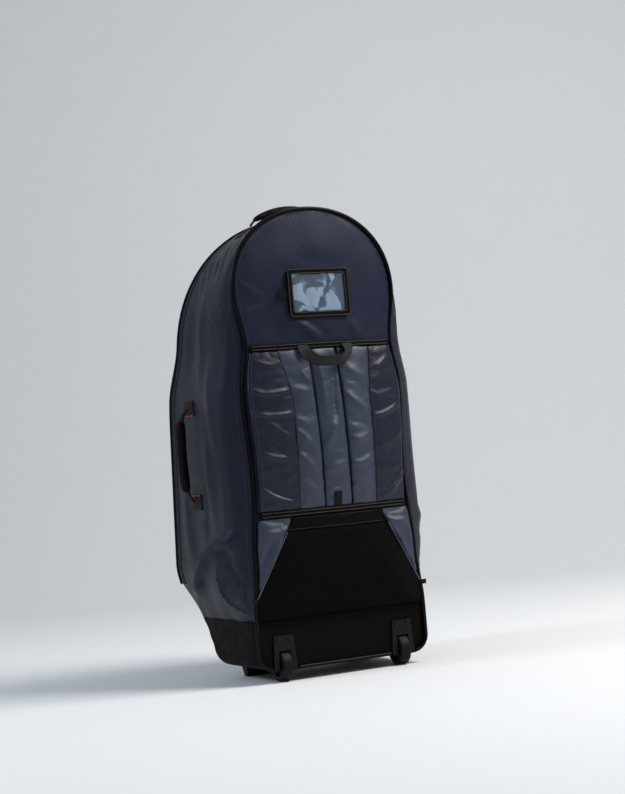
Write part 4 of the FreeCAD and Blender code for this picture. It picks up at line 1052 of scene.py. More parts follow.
@dataclass
class Pad:
    """A padded piece waiting for its cloth run: the mesh, what holds it, and its finish."""

    obj: Piece
    body: str
    nodes: tuple[str, ...]
    slot: str
    finish: Finish
    held: Callable[[Points], Points]
    cap: float
    folds: tuple[Fold, ...] = ()
    deep: float = 1.0
    slack: float = 0.0003
    fill: float = 0.6
    grow: float = 0.006
    live: bool = True


@dataclass
class ClothRoom:
    """Runs the cloth of all padded pieces together, then finishes each one."""

    paints: Paints
    voxel: float = 0.0042
    pads: list[Pad] = field(default_factory=list)

    def add(self, pad: Pad) -> None:
        """Takes a piece to be run."""
        self.pads.append(pad)

    def prepare(self, pad: Pad) -> None:
        """Remeshes a piece evenly, pins what its seams hold and inflates the rest without gravity."""
        obj = pad.obj
        remesh = obj.modifiers.new("even", "REMESH")
        remesh.mode = "VOXEL"
        remesh.voxel_size = self.voxel
        settle(obj)
        co = places(obj.data)
        group = obj.vertex_groups.new(name="held")
        for index in np.flatnonzero(pad.held(co)):
            group.add([int(index)], 1.0, "REPLACE")
        cloth = obj.modifiers.new("cloth", "CLOTH")
        settings = cloth.settings
        settings.vertex_group_mass = "held"
        for key, value in CLOTH.items():
            setattr(settings, key, value)
        settings.shrink_min = -pad.grow
        settings.effector_weights.gravity = 0.0
        cloth.collision_settings.use_collision = False
        cloth.point_cache.frame_start = 1
        cloth.point_cache.frame_end = FRAMES

    def run(self) -> None:
        """Runs the cloth, holds each point's travel to the cap, smooths once and adds the drawn folds."""
        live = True
        if live:
            for pad in self.pads:
                if pad.live:
                    self.prepare(pad)
            for frame in range(1, FRAMES + 1):
                bpy.context.scene.frame_set(frame)
        for pad in self.pads:
            obj = pad.obj
            if live and pad.live:
                start = places(obj.data)
                settle(obj)
                obj.vertex_groups.clear()
                travel = places(obj.data) - start
                length = np.linalg.norm(travel, axis=1, keepdims=True)
                moved = start + travel * np.minimum(1.0, pad.cap / np.maximum(length, 1e-9))
                set_places(obj.data, moved)
            even = obj.modifiers.new("round", "SUBSURF")
            even.levels = even.render_levels = 1
            settle(obj)
            self.finish(pad)
        bpy.context.scene.frame_set(1)

    def finish(self, pad: Pad) -> None:
        """Adds the drawn folds to the side that faces out, and gives the piece its finish and body."""
        obj = pad.obj
        co = places(obj.data)
        lift = pad.deep * lift_of(pad.folds, co[:, 0], co[:, 2])
        lift = lift + pad.slack * ripple(co[:, 0] - 0.6 * co[:, 2], co[:, 2] + 0.4 * co[:, 0], 0.042,
                                         len(obj.name), 0.8)
        normals = np.zeros(len(co) * 3, np.float32)
        obj.data.vertices.foreach_get("normal", normals)
        facing = ease(-normals.reshape(-1, 3)[:, 1] * 1.6)
        co[:, 1] -= lift * facing
        set_places(obj.data, co)
        obj.data.shade_smooth()
        self.paints.dress(obj, pad.finish, pad.body, pad.slot, *pad.nodes, fill=pad.fill)
        LOG.info("%s: %d vertices after its cloth run", obj.name, len(co))


def settle(obj: Piece) -> None:
    """Replaces a piece's mesh with its modified one."""
    bpy.context.view_layer.update()
    made = bpy.data.meshes.new_from_object(obj.evaluated_get(bpy.context.evaluated_depsgraph_get()))
    made.name = obj.name
    obj.modifiers.clear()
    obj.data = made


def places(mesh: bpy.types.Mesh) -> Points:
    """Vertex places of a mesh."""
    co = np.zeros(len(mesh.vertices) * 3, np.float32)
    mesh.vertices.foreach_get("co", co)
    return co.reshape(-1, 3).astype(float)


def set_places(mesh: bpy.types.Mesh, co: Points) -> None:
    """Moves the vertices of a mesh."""
    mesh.vertices.foreach_set("co", np.asarray(co, np.float32).ravel())
    mesh.update()


# ---------------------------------------------------------------- back panel and harness
PANEL_FOLDS = drawn_folds([
    (-74, 754, -40, 738, 0, 698, 7.2, 8),
    (-40, 745, -5, 728, 20, 702, -2.6, 10),
    (-184, 742, -160, 764, -120, 782, 5.2, 6.5),
    (-180, 835, -150, 815, -120, 785, 2.2, 8),
    (58, 748, 80, 730, 94, 700, 4.2, 8),
    (120, 705, 140, 740, 165, 770, -2.2, 10),
    (-100, 870, -20, 905, 100, 880, 1.4, 30),
])
LEFT_PAD_FOLDS = drawn_folds([
    (-180, 612, -150, 585, -86, 603, 4.2, 5.5),
    (-178, 560, -150, 545, -84, 553, 4.8, 4.2),
    (-150, 545, -125, 515, -86, 495, 3, 6.5),
    (-176, 492, -150, 452, -86, 462, 4, 6),
    (-176, 416, -150, 375, -86, 366, 5.8, 5),
    (-160, 668, -135, 650, -110, 655, 2.6, 6),
    (-170, 520, -140, 500, -86, 440, -2.8, 9),
])
RIGHT_PAD_FOLDS = drawn_folds([
    (112, 638, 130, 640, 150, 660, 3.6, 5.5),
    (98, 535, 130, 535, 170, 560, 3.6, 5),
    (98, 470, 130, 470, 170, 500, 2.2, 7),
    (116, 366, 150, 380, 176, 425, 5.8, 5),
    (100, 600, 130, 585, 160, 600, -2.4, 8),
    (100, 430, 130, 415, 165, 430, 2, 8),
])
LEFT_STRAP_FOLDS = drawn_folds([
    (-92, 610, -70, 590, -38, 600, 2.4, 10.1),
    (-90, 520, -65, 498, -38, 462, 4, 8.7),
    (-90, 470, -65, 450, -38, 418, 4, 8.7),
    (-90, 415, -65, 400, -38, 378, 3.2, 8.7),
    (-90, 560, -65, 545, -38, 548, -3, 11.6),
    (-60, 640, -50, 620, -38, 610, 3.6, 8.7),
])
RIGHT_STRAP_FOLDS = drawn_folds([
    (36, 590, 60, 560, 90, 545, 4.4, 8),
    (40, 650, 60, 630, 88, 610, 3, 10.1),
    (36, 492, 60, 480, 90, 500, 3.8, 8.7),
    (36, 440, 60, 430, 90, 458, 4.2, 8),
    (36, 396, 60, 392, 90, 420, 3.6, 8),
    (36, 535, 60, 520, 90, 522, -2.8, 10.1),
])
SLEEVE_FOLDS = drawn_folds([
    (-20, 670, -18, 620, -12, 555, 4.4, 9),
    (10, 674, 12, 600, 6, 530, -5, 8.5),
    (-4, 590, 10, 540, 26, 505, -3, 9),
    (-28, 474, 0, 500, 12, 545, 4, 8),
    (-28, 426, 0, 440, 30, 440, 4.6, 9.5),
    (-28, 388, 0, 380, 28, 392, 3.2, 6.5),
])
WING_FOLDS = drawn_folds([
    (112, 318, 140, 305, 172, 310, 5, 6),
    (128, 296, 150, 270, 160, 235, 5, 6),
    (150, 292, 168, 270, 176, 240, -4, 7),
    (168, 232, 176, 215, 180, 192, 4, 5),
    (112, 333, 140, 327, 165, 335, -2, 5),
])


# Name, height, width and thickness of each band.
HARNESS_BANDS = (("upper_harness_band", 0.691, 0.0128, 0.0066), ("lower_harness_band", 0.346, 0.0126, 0.0062))


def flipped(folds: Iterable[Fold]) -> tuple[Fold, ...]:
    """The same folds on the other side of the bag."""
    return tuple(Fold((-f.start[0], f.start[1]), (-f.lean[0], f.lean[1]), (-f.end[0], f.end[1]), f.height,
                      f.width) for f in folds)


@dataclass(frozen=True)
class Harness:
    """Back panel, stowed shoulder straps, pads, spine sleeve, lumbar pad and their bands."""

    form: Form
    paints: Paints
    room: ClothRoom
    low: float = 0.3518
    high: float = 0.6852
    margin: float = 0.007
    lap: float = 0.0016
    seam_x: float = 0.095
    slit_x: float = 0.032
    spread: float = 0.012
    pulled: float = 0.010
    turn_z: float = 0.5852
    slit: float = 0.0007
    slit_lean: float = 0.010
    edge: float = 0.006
    crown: float = 0.020
    mouth_z: float = 0.308
    mouth_half: float = 0.118
    top_half: float = 0.100
    corner_z: float = 0.172
    corner_half: float = 0.193
    mesh_low: float = 0.1306
    wing_low: float = 0.1830
    band_low: float = 0.3085
    band_high: float = 0.3392

    def slit_line(self, z: Points, side: int) -> Points:
        """Distance from the middle of a slit beside the sleeve: both lean a little to the right below."""
        return self.slit_x + side * self.slit_lean * (0.5 - (z - self.low) / (self.high - self.low))

    def seam_line(self, z: Points, side: int) -> Points:
        """Distance from the middle of the seam between pad and strap: the left pad is drawn over further."""
        over = self.pulled if side < 0 else 0.0
        rise = np.clip((z - self.turn_z) / (self.high - self.turn_z), 0.0, 1.0)
        return self.seam_x - over + (self.spread + over) * rise

    def back_panel(self) -> Piece:
        """Crowned panel of ribbed cloth over its foam, with the soft folds above the harness."""
        f = self.form
        s = np.concatenate([np.linspace(3.003, 5.99, 84), np.linspace(6.0, 6.992, 62)])
        half, z = f.at(f.seam, s)
        u = np.linspace(-1.0, 1.0, 91)
        x = np.maximum(half - 0.0042, 0.0004)[:, None] * u
        z = np.where(z > f.seam.dome_z, f.seam.dome_z + (z - f.seam.dome_z) * (1 - 0.0042 / 0.175), z)
        height = np.broadcast_to(z[:, None], x.shape)
        upper = ease((height - 0.700) / 0.012)
        near = np.abs(half[:, None]) - np.abs(x)
        soft = 0.0011 * ripple(x, height, 0.10, 51, 1.3) * ease(near / 0.04)
        pucker = 0.0005 * np.sin(math.tau * (height + np.abs(x) * 0.6) / 0.016) * bell(near - 0.010, 0.008)
        clear = np.clip(ease((np.abs(x) - 0.073) / 0.02) + ease((np.abs(height - 0.801) - 0.052) / 0.02), 0.0,
                        1.0)
        lift = upper * clear * (lift_of(PANEL_FOLDS, x, height) * ease((near - 0.004) / 0.02) + soft + pucker)
        face = f.panel(x, height)
        outer = columns(x, face - lift, height)
        inner = columns(x * 0.985, f.panel(x, height, -0.0093), height)
        obj = shell("back_panel_cloth", outer, inner, outer[..., (0, 2)])
        return self.paints.dress(obj, BACK, "bag", "back_fabric", "back_panel", "back_foam", fill=0.4)

    def block(self, name: str, left: Callable, right: Callable, z0: float, z1: float, edge: float,
              crown: float, keep: float = 0.5, rows: int = 64, cols: int = 20) -> tuple[Piece, Callable]:
        """Pillow on the panel between two upright lines.

        Its thickness rises as an arch between its ends, and falls at its sides with the eighth power of the
        distance from its middle.

        Args:
            name: Piece name.
            left: Left edge at a height.
            right: Right edge at a height.
            z0: Lower end.
            z1: Upper end.
            edge: Thickness at the ends.
            crown: Thickness halfway.
            keep: Share of the thickness that is left at the sides.
            rows: Rows of points.
            cols: Columns of points.

        Returns:
            The piece, and a test of which points its seams hold.
        """
        f = self.form
        turn = np.linspace(0.0, math.pi, rows)
        z = z0 + (z1 - z0) * (0.5 - 0.5 * np.cos(turn)) * 0.6 + (z1 - z0) * np.linspace(0, 1, rows) * 0.4
        u = np.sin(np.linspace(-1.0, 1.0, cols) * math.pi / 2 * 0.86) / math.sin(math.pi / 2 * 0.86)
        a, b = left(z)[:, None], right(z)[:, None]
        x = (a + b) / 2 + (b - a) / 2 * u
        height = np.broadcast_to(z[:, None], x.shape)

        def thick(px: Points, pz: Points) -> Points:
            rise = np.clip((pz - z0) / (z1 - z0), 0.0, 1.0)
            arch = edge + (crown - edge) * np.sin(math.pi * rise)
            middle, reach = (left(pz) + right(pz)) / 2, (right(pz) - left(pz)) / 2
            v = np.clip(np.abs(px - middle) / np.maximum(reach, 1e-6), 0.0, 1.0)
            ends = 0.80 + 0.20 * ease(np.minimum(rise, 1 - rise) * (z1 - z0) / 0.010)
            return arch * (1 - (1 - keep) * v ** 8) * ends

        outer = columns(x, f.panel(x, height, 0.0) - thick(x, height), height)
        inner = columns(x, f.panel(x, height, 0.0006), height)
        obj = shell(name, outer, inner)

        def held(co: Points) -> Points:
            px, py, pz = co.T
            depth = f.panel(px, pz) - py
            side = np.minimum(px - left(pz), right(pz) - px)
            end = np.minimum(pz - z0, z1 - pz)
            return (side < 0.0042) | (end < 0.0045) | (depth < 0.45 * thick(px, pz))

        return obj, held

    def pads(self) -> None:
        """Shoulder straps, back pads and spine sleeve between the two bands."""
        f = self.form
        outer_edge = lambda z: f.seam_half(z) - self.margin
        for side, name in SIDES:
            slit_edge = lambda z, side=side: self.slit_line(z, side) + self.slit
            inner_seam = lambda z, side=side: self.seam_line(z, side) + self.lap
            outer_seam = lambda z, side=side: self.seam_line(z, side) - self.lap
            flip = lambda line: (lambda z: -line(z))
            spans = {"shoulder_strap": (slit_edge, inner_seam), "back_pad": (outer_seam, outer_edge)}
            for kind, (a, b) in spans.items():
                left, right = (a, b) if side > 0 else (flip(b), flip(a))
                obj, held = self.block(f"{name}_{kind}_pad", left, right, self.low, self.high, self.edge,
                                       self.crown, 0.86 if kind == "back_pad" else 0.78)
                folds = {("right", "shoulder_strap"): RIGHT_STRAP_FOLDS,
                         ("left", "shoulder_strap"): LEFT_STRAP_FOLDS, ("right", "back_pad"): RIGHT_PAD_FOLDS,
                         ("left", "back_pad"): LEFT_PAD_FOLDS}[name, kind]
                cloth, deep = (PADDING, 0.95) if kind == "back_pad" else (STRAP, 1.2)
                self.room.add(Pad(obj, "bag", (f"{name}_{kind}",), "pad_fabric", cloth, held, 0.0016, folds,
                                  deep))
        obj, held = self.block("spine_sleeve_pad", lambda z: self.slit - self.slit_line(z, -1),
                               lambda z: self.slit_line(z, 1) - self.slit, self.low, self.high, self.edge,
                               self.crown * 0.94, 0.60)
        self.room.add(Pad(obj, "bag", ("spine_sleeve",), "pad_fabric", STRAP, held, 0.0015, SLEEVE_FOLDS,
                          1.0))

    def diagonal(self, z: Points) -> Points:
        """Half width of the lumbar mesh on its slanting sides."""
        share = (z - self.corner_z) / (self.mouth_z - self.corner_z)
        return self.corner_half + (self.mouth_half - self.corner_half) * share

    def lumbar(self) -> None:
        """Air-mesh lumbar pad, the smooth band above its mouth and the two wings."""
        f = self.form
        half = lambda z: np.minimum(np.where(z > self.corner_z, self.diagonal(z), 1.0),
                                    f.seam_half(z) - 0.0043)
        obj, held = self.block("lumbar_mesh", lambda z: -half(z), half, self.mesh_low, self.mouth_z, 0.0080,
                               0.0125, 0.72, 44, 60)
        self.room.add(Pad(obj, "bag", ("lumbar_mesh_pad",), "mesh", MESH, held, 0.003, fill=0.5, live=False))
        slope = (self.mouth_half - self.top_half) / (self.band_high - self.mouth_z)
        top = lambda z: self.mouth_half - slope * (z - self.mouth_z)
        obj, held = self.block("lumbar_band_cloth", lambda z: -top(z), top, self.band_low, self.band_high,
                               0.0036, 0.0042, 0.8, 12, 50)
        self.room.add(Pad(obj, "bag", ("lumbar_band",), "base_fabric", BAND, held, 0.001, fill=0.3,
                          live=False))
        inner = lambda z: np.where(z > self.mouth_z, top(z), self.diagonal(z)) + 0.0014
        outer = lambda z: np.maximum(f.seam_half(z) - 0.0046, inner(z) + 0.001)
        for side, name in SIDES:
            left, right = (inner, outer) if side > 0 else ((lambda z: -outer(z)), (lambda z: -inner(z)))
            obj, held = self.block(f"{name}_lumbar_wing_pad", left, right, self.wing_low, self.band_high,
                                   0.0060, 0.0120, 0.6, 40, 22)
            folds = WING_FOLDS if side > 0 else flipped(WING_FOLDS)
            self.room.add(Pad(obj, "bag", (f"{name}_lumbar_wing",), "pad_fabric", STRAP, held, 0.0024, folds,
                              1.1))

    def bands(self) -> None:
        """Folded binding across the top and bottom of the harness."""
        f = self.form
        for name, z, width, rise in HARNESS_BANDS:
            reach = float(f.seam_half(np.array(z))) - 0.0085
            x = np.linspace(-reach, reach, 120)
            level = np.full_like(x, z)
            sag = 0.0006 * ripple(x, 0 * x, 0.09, 61)
            path = columns(x, f.panel(x, level) - rise / 2 - 0.0004, level + sag)
            obj = new_object(f"{name}_tape", *sweep(path, (0.0, 0.0, 1.0), strap_section(rise, width, 20)))
            self.paints.dress(obj, BAND, "bag", "webbing", name)

    def edging(self) -> None:
        """Pale edging along the slanting sides of the lumbar mesh, and the small anchors at its corners."""
        f = self.form
        lines = []
        for side in (1, -1):
            z = np.linspace(self.corner_z + 0.004, self.mouth_z, 60)
            x = self.diagonal(z) + 0.0006
            path = columns(side * x, f.panel(x, z, 0.0085), z)
            lines.append(sweep(path, (0.0, -1.0, 0.0), round_section(0.0013, 8)))
        obj = new_object("lumbar_edging", *merge(lines))
        self.paints.dress(obj, EDGING, "bag", "webbing")
        tabs = []
        for side in (1, -1):
            path = np.array([(side * (0.1935 + 0.0105 * t), -0.1483 - 0.0004 * math.sin(3 * t),
                              self.corner_z + 0.0006 * t) for t in np.linspace(0, 1, 8)])
            tabs.append(sweep(path, (0.0, 0.0, 1.0), strap_section(0.0036, 0.0100)))
        obj = new_object("corner_anchors", *merge(tabs))
        self.paints.dress(obj, WEBBING, "bag", "webbing", "strap_anchors")

    def build(self) -> Piece:
        """Makes every piece and hands the padded ones to the cloth room; returns the back panel."""
        panel = self.back_panel()
        self.pads()
        self.lumbar()
        self.bands()
        self.edging()
        return panel


# ---------------------------------------------------------------- window, loop and handles
def ribbon(path: Points, up: Points, width: Points, thick: Points, power: float = 0.4,
           count: int = 20) -> Solid:
    """Strap or sleeve whose width and thickness change along its path.

    Args:
        path: Centre line.
        up: Direction of its thickness, one for all or one for each point.
        width: Width at each point.
        thick: Thickness at each point.
        power: Power of the superellipse section: 1 is an ellipse, lower is squarer.
        count: Points round the section.

    Returns:
        Vertices and faces.
    """
    points, faces = sweep(path, up, squared(count, power))
    ring = points.reshape(len(path), count, 3) - np.asarray(path)[:, None]
    along = unit(np.gradient(np.asarray(path, float), axis=0))
    lift = np.broadcast_to(np.asarray(up, float), np.shape(path))
    lift = unit(lift - np.sum(lift * along, axis=1, keepdims=True) * along)
    side = np.cross(along, lift)
    a = np.sum(ring * side[:, None], axis=-1) * np.broadcast_to(width, len(path))[:, None] / 2
    b = np.sum(ring * lift[:, None], axis=-1) * np.broadcast_to(thick, len(path))[:, None] / 2
    ring = np.asarray(path)[:, None] + a[..., None] * side[:, None] + b[..., None] * lift[:, None]
    return ring.reshape(-1, 3), faces


def strap_uv(path: Points, count: int, width: float) -> Points:
    """Cloth coordinates of a swept strap: across its face, and along its path."""
    run = run_along(path)
    turn = np.linspace(0.0, math.tau, count, endpoint=False)
    return np.stack(np.broadcast_arrays((np.cos(turn) * width / 2)[None, :], run[:, None]),
                    axis=-1).reshape(-1, 2)


def rounded(half_x: float, half_z: float, radius: float, pitch: float) -> Points:
    """Closed rounded rectangle about the origin, as (x, z) pairs a pitch apart."""
    turn = np.linspace(0.0, math.pi / 2, 9)
    points = []
    for k, (sx, sz) in enumerate(((1, 1), (-1, 1), (-1, -1), (1, -1))):
        a = turn + k * math.pi / 2
        points.append(columns(sx * (half_x - radius) + radius * np.cos(a),
                              sz * (half_z - radius) + radius * np.sin(a)))
    line = np.concatenate(points + [points[0][:1]])
    run = run_along(line)
    at = np.linspace(0.0, run[-1], int(run[-1] / pitch), endpoint=False)
    return np.stack([np.interp(at, run, line[:, i]) for i in range(2)], axis=1)


@dataclass(frozen=True)
class Window:
    """Identity window on the back panel: bound frame, clear pane and blank card."""

    form: Form
    paints: Paints
    middle: float = 0.801
    half_x: float = 0.0655
    half_z: float = 0.045
    face: float = -0.1676
    border: float = 0.012
    open_x: float = 0.0595
    open_z: float = 0.039

    def frame(self) -> Piece:
        """Bound border, rounded at its edges and set down on the panel, with the card's pocket cut out."""
        line = rounded(self.half_x, self.half_z, 0.0066, 0.0022)
        path = columns(line[:, 0], self.face + 0.0016, line[:, 1] + self.middle)
        points, faces = sweep(path, (0.0, -1.0, 0.0), strap_section(self.border, 0.0032, 28), closed=True)
        crown = 0.0005 * ripple(points[:, 0], points[:, 2], 0.05, 71)
        deep = points[:, 1] > self.face + 0.0024
        points[:, 1] += np.where(deep, 0.0, np.clip(crown, 0.0, 0.0006))
        rest = self.form.panel(points[:, 0], points[:, 2]) + 0.0006
        points[:, 1] = np.where(deep, np.maximum(points[:, 1], rest), points[:, 1])
        obj = new_object("id_frame", points, faces)
        card_lo, card_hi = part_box("id_card")
        cut_box(obj, (-0.090, card_lo[1] - 0.0007, card_lo[2] - 0.0006),
                (card_hi[0] + 0.0006, card_hi[1] + 0.0004, card_hi[2] + 0.0006))
        return self.paints.dress(obj, BAND, "bag", "webbing", "id_window_frame")

    def pane(self) -> Piece:
        """Slack clear vinyl in the frame."""
        lo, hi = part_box("id_window_pane")
        x, z = np.meshgrid(np.linspace(lo[0] + 0.001, hi[0] - 0.001, 100),
                           np.linspace(lo[2] + 0.001, hi[2] - 0.001, 70))
        edge = np.minimum(self.open_x - np.abs(x), self.open_z - np.abs(z - self.middle))
        free = ease(edge / 0.012)
        wave = free * (0.0007 + 0.0006 * ripple(x, z, 0.035, 81, 1.4))
        outer = columns(x, lo[1] + 0.0001 - np.clip(wave, 0.0, 0.0018), z)
        inner = outer + np.array((0.0, 0.0005, 0.0))
        obj = shell("id_pane", outer, inner)
        obj.data.materials.append(clear_vinyl())
        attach(obj, "bag")
        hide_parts("id_window_pane")
        return obj

    def seams(self) -> list:
        """Two rows of stitches round the border."""
        rows = []
        for off in (-0.0040, 0.0040):
            line = rounded(self.half_x + off, self.half_z + off, 0.0050, 0.002)
            line = np.concatenate([line, line[:1]])
            path = columns(line[:, 0], self.face + 0.0001, line[:, 1] + self.middle)
            rows.append(stitches(path, (0.0, -1.0, 0.0), 0.0054, 0.0032, 0.00046))
        return rows


def cut_box(obj: Piece, low: Place, high: Place) -> None:
    """Cuts an upright box out of a piece."""
    x, y, z = zip(low, high)
    corners = [(a, b, c) for a in x for b in y for c in z]
    faces = [(0, 1, 3, 2), (4, 6, 7, 5), (0, 4, 5, 1), (2, 3, 7, 6), (0, 2, 6, 4), (1, 5, 7, 3)]
    tool = new_object("cutter", np.array(corners), faces)
    tool.data.shade_flat()
    mod = obj.modifiers.new("cut", "BOOLEAN")
    mod.operation = "DIFFERENCE"
    mod.solver = "EXACT"
    mod.object = tool
    settle(obj)
    bpy.data.objects.remove(tool)


@dataclass(frozen=True)
class GrabLoop:
    """Short webbing loop that hangs from the upper harness band."""

    paints: Paints
    hinge_y: float = -0.17057
    hinge_z: float = 0.691
    half: float = 0.051
    web: float = 0.024
    thick: float = 0.0026
    drop: float = 0.0415
    corner: float = 0.036
    tilt: float = 31.0
    turn: float = -66.0

    def build(self) -> None:
        """One strap: down, round a corner, across and up again, its low stretch turned to face down."""
        arc = np.linspace(0.0, math.pi / 2, 14)
        r = self.corner
        down = np.linspace(0.0, self.drop - r, 12)
        leg = columns(self.half, -down)
        bend = columns(self.half - r + r * np.cos(arc), -(self.drop - r) - r * np.sin(arc))
        flat = columns(np.linspace(self.half - r, 0.0, 10), -self.drop)
        side = np.concatenate([leg, bend[1:], flat[1:]])
        line = np.concatenate([side, (side * (-1, 1))[::-1][1:]])
        line = resample(np.concatenate([line, np.zeros((len(line), 1))], axis=1), 0.0025)[:, :2]
        share = ease(-line[:, 1] / self.drop)
        tilt = math.radians(self.tilt)
        path = columns(line[:, 0], self.hinge_y + line[:, 1] * math.sin(tilt),
                       self.hinge_z + line[:, 1] * math.cos(tilt))
        path[:, 1] -= 0.0012 * share * np.cos(line[:, 0] / self.half * math.pi / 2)
        out = np.array((0.0, -math.cos(tilt), math.sin(tilt)))
        along = unit(np.gradient(path, axis=0))
        lean = np.radians(self.turn) * share
        turned = np.array([Quaternion(Vector(a), float(t)) @ Vector(out) for a, t in zip(along, lean)])
        obj = new_object("grab_strap", *ribbon(path, turned, self.web, self.thick, 0.3, 24),
                         uv=strap_uv(path, 24, self.web))
        self.paints.dress(obj, LOOP, "grab_loop", "webbing", "grab_loop")


@dataclass(frozen=True)
class Handles:
    """Carrying handles on the top and both sides, with the patches that hold them."""

    form: Form
    paints: Paints
    top_y: float = -0.052
    arch_z: float = 0.9920
    arch_fall: float = 3.15
    side_y: float = 0.037
    side_z: float = 0.483
    patch_face: float = 0.2325
    patches: tuple[tuple[float, float], ...] = ((0.366, 0.400), (0.566, 0.600))
    patch_half: float = 0.0246

    def arch(self, x: Points) -> Points:
        """Height of the top handle's bow: a parabola that falls from its middle."""
        return self.arch_z - self.arch_fall * x ** 2

    def top_patch(self, side: int) -> Solid:
        """Webbing patch draped over the arch of the top gusset."""
        f = self.form
        s = np.linspace(ARCH_START, CROWN, 600)
        x = np.linspace(0.0815, 0.1245, 26)
        y = np.linspace(-0.0665, -0.0375, 18)
        rows = []
        for depth in y:
            half, z = f.skin(s, np.full_like(s, depth))
            rows.append(columns(side * x, depth, np.interp(-x, -half, z)))
        grid = np.stack(rows)
        edge = np.minimum(np.minimum(x - x[0], x[-1] - x)[None, :], np.minimum(y - y[0], y[-1] - y)[:, None])
        normal = outward(grid, (0.0, grid[0, 0, 1], 0.5))
        lift = 0.0008 + 0.0011 * np.sqrt(np.clip(edge / 0.0016, 0.0, 1.0))
        outer = grid + normal * lift[..., None]
        return both_sides(outer, grid - normal * 0.0006), sheet_faces(*grid.shape[:2])

    def top(self) -> None:
        """Top handle: webbing that narrows to its hinges, a padded grip, and its patches."""
        points, faces = merge([self.top_patch(1), self.top_patch(-1)])
        patch = new_object("top_patches", points, faces, points[:, :2])
        self.paints.dress(patch, WEBBING, "bag", "webbing", "top_handle_patches")
        hinge = np.array((0.0915, self.top_y, 0.9592))
        arch = np.linspace(0.078, 0.0, 20)
        side = np.concatenate([bezier(hinge, (0.086, self.top_y, 0.966), (0.081, self.top_y, 0.9708), 8),
                               columns(arch, self.top_y, self.arch(arch))])
        path = resample(np.concatenate([side, (side * MIRROR)[::-1][1:]]), 0.003)
        reach = np.abs(path[:, 0])
        width = 0.0080 + 0.0195 * ease((0.0885 - reach) / 0.024)
        points, faces = ribbon(path, (0.0, 0.0, 1.0), width, 0.0034 + 0.003 * ease((0.080 - reach) / 0.02),
                               0.35)
        web = new_object("top_handle_web", points, faces, strap_uv(path, 20, 0.028))
        self.paints.dress(web, WEBBING, "top_handle", "webbing", "top_handle_webbing")
        x = np.linspace(-0.0825, 0.0825, 80)
        path = columns(x, self.top_y, self.arch(x))
        reach = np.abs(x) / 0.083
        end = np.sqrt(np.clip(1.0 - reach ** 14, 0.02, 1.0)) * (1.0 - 0.40 * reach ** 4)
        crease = 1.0 + 0.02 * np.sin(x * 260.0) + 0.015 * ripple(x, 0 * x, 0.03, 91)
        points, faces = ribbon(path, (0.0, 0.0, 1.0), 0.0310 * end * crease, 0.0150 * (0.25 + 0.75 * end),
                               0.72, 28)
        grip = new_object("top_grip", points, faces)
        self.paints.dress(grip, GRIP, "top_handle", "grip_sleeve", "top_handle_grip", fill=0.8)

    def side_patch(self, side: int, low: float, high: float) -> Solid:
        """Webbing patch sewn flat on a side gusset."""
        line = rounded(self.patch_half, (high - low) / 2 - 0.0004, 0.003, 0.002)
        middle = np.array((self.side_y, (low + high) / 2))
        rings = []
        for inset, x in ((0.0, 0.2294), (0.0, 0.2316), (0.0012, self.patch_face)):
            scale = 1.0 - inset / 0.020
            rings.append(columns(side * x, middle[0] + line[:, 0] * scale, middle[1] + line[:, 1] * scale))
        points = np.concatenate(rings)
        count = len(line)
        faces = grid_quads(3, count, wrap=True) + [list(range(count))[::-1],
                                                   list(range(2 * count, 3 * count))]
        return points, faces

    def side(self, side: int, name: str) -> None:
        """Side handle: two patches, webbing that narrows to its hinges, and a bowed grip."""
        points, faces = merge([self.side_patch(side, low, high) for low, high in self.patches])
        patch = new_object(f"{name}_side_patches", points, faces, points[:, 1:])
        self.paints.dress(patch, WEBBING, "bag", "webbing", f"{name}_side_handle_patches")
        y = self.side_y
        leg = bezier((0.2362, y, 0.3845), (0.2490, y, 0.390), (0.2550, y, 0.418), 16)
        grip_z = np.linspace(0.422, self.side_z, 14)
        low = np.concatenate([leg,
                              columns(0.2552 + 0.0012 * np.sin((grip_z - 0.422) / 0.061 * math.pi / 2), y,
                                      grip_z)])
        flip = (low * (1, 1, -1))[::-1][1:] + np.array((0.0, 0.0, 2.0 * self.side_z))
        path = resample(np.concatenate([low, flip]) * (side, 1, 1), 0.003)
        end = np.abs(path[:, 2] - self.side_z)
        away = np.abs(path[:, 0]) - 0.2358
        width = np.minimum(0.0205, 2.0 * (0.0017 + 0.5 * away) / 0.87)
        thick = 0.0042 + 0.0030 * ease((0.090 - end) / 0.03)
        web = new_object(f"{name}_handle_web", *ribbon(path, (float(side), 0.0, 0.0), width, thick, 0.4),
                         uv=strap_uv(path, 20, 0.02))
        self.paints.dress(web, WEBBING, f"{name}_side_handle", "webbing", f"{name}_side_handle_webbing")
        z = np.linspace(0.4060, 0.5600, 64)
        bow = 0.2538 + 0.0027 * np.cos((z - self.side_z) / 0.077 * math.pi / 2)
        path = columns(side * bow, y, z)
        tip = np.sqrt(np.clip(1.0 - (np.abs(z - self.side_z) / 0.0775) ** 12, 0.05, 1.0))
        crease = 1.0 + 0.02 * ripple(z, 0 * z, 0.02, 95)
        grip = new_object(f"{name}_grip",
                          *ribbon(path, (float(side), 0.0, 0.0), 0.0240 * tip * crease, 0.0195 * tip, 0.85,
                                  24))
        self.paints.dress(grip, GRIP, f"{name}_side_handle", "grip_sleeve", f"{name}_side_handle_grip",
                          fill=0.8)

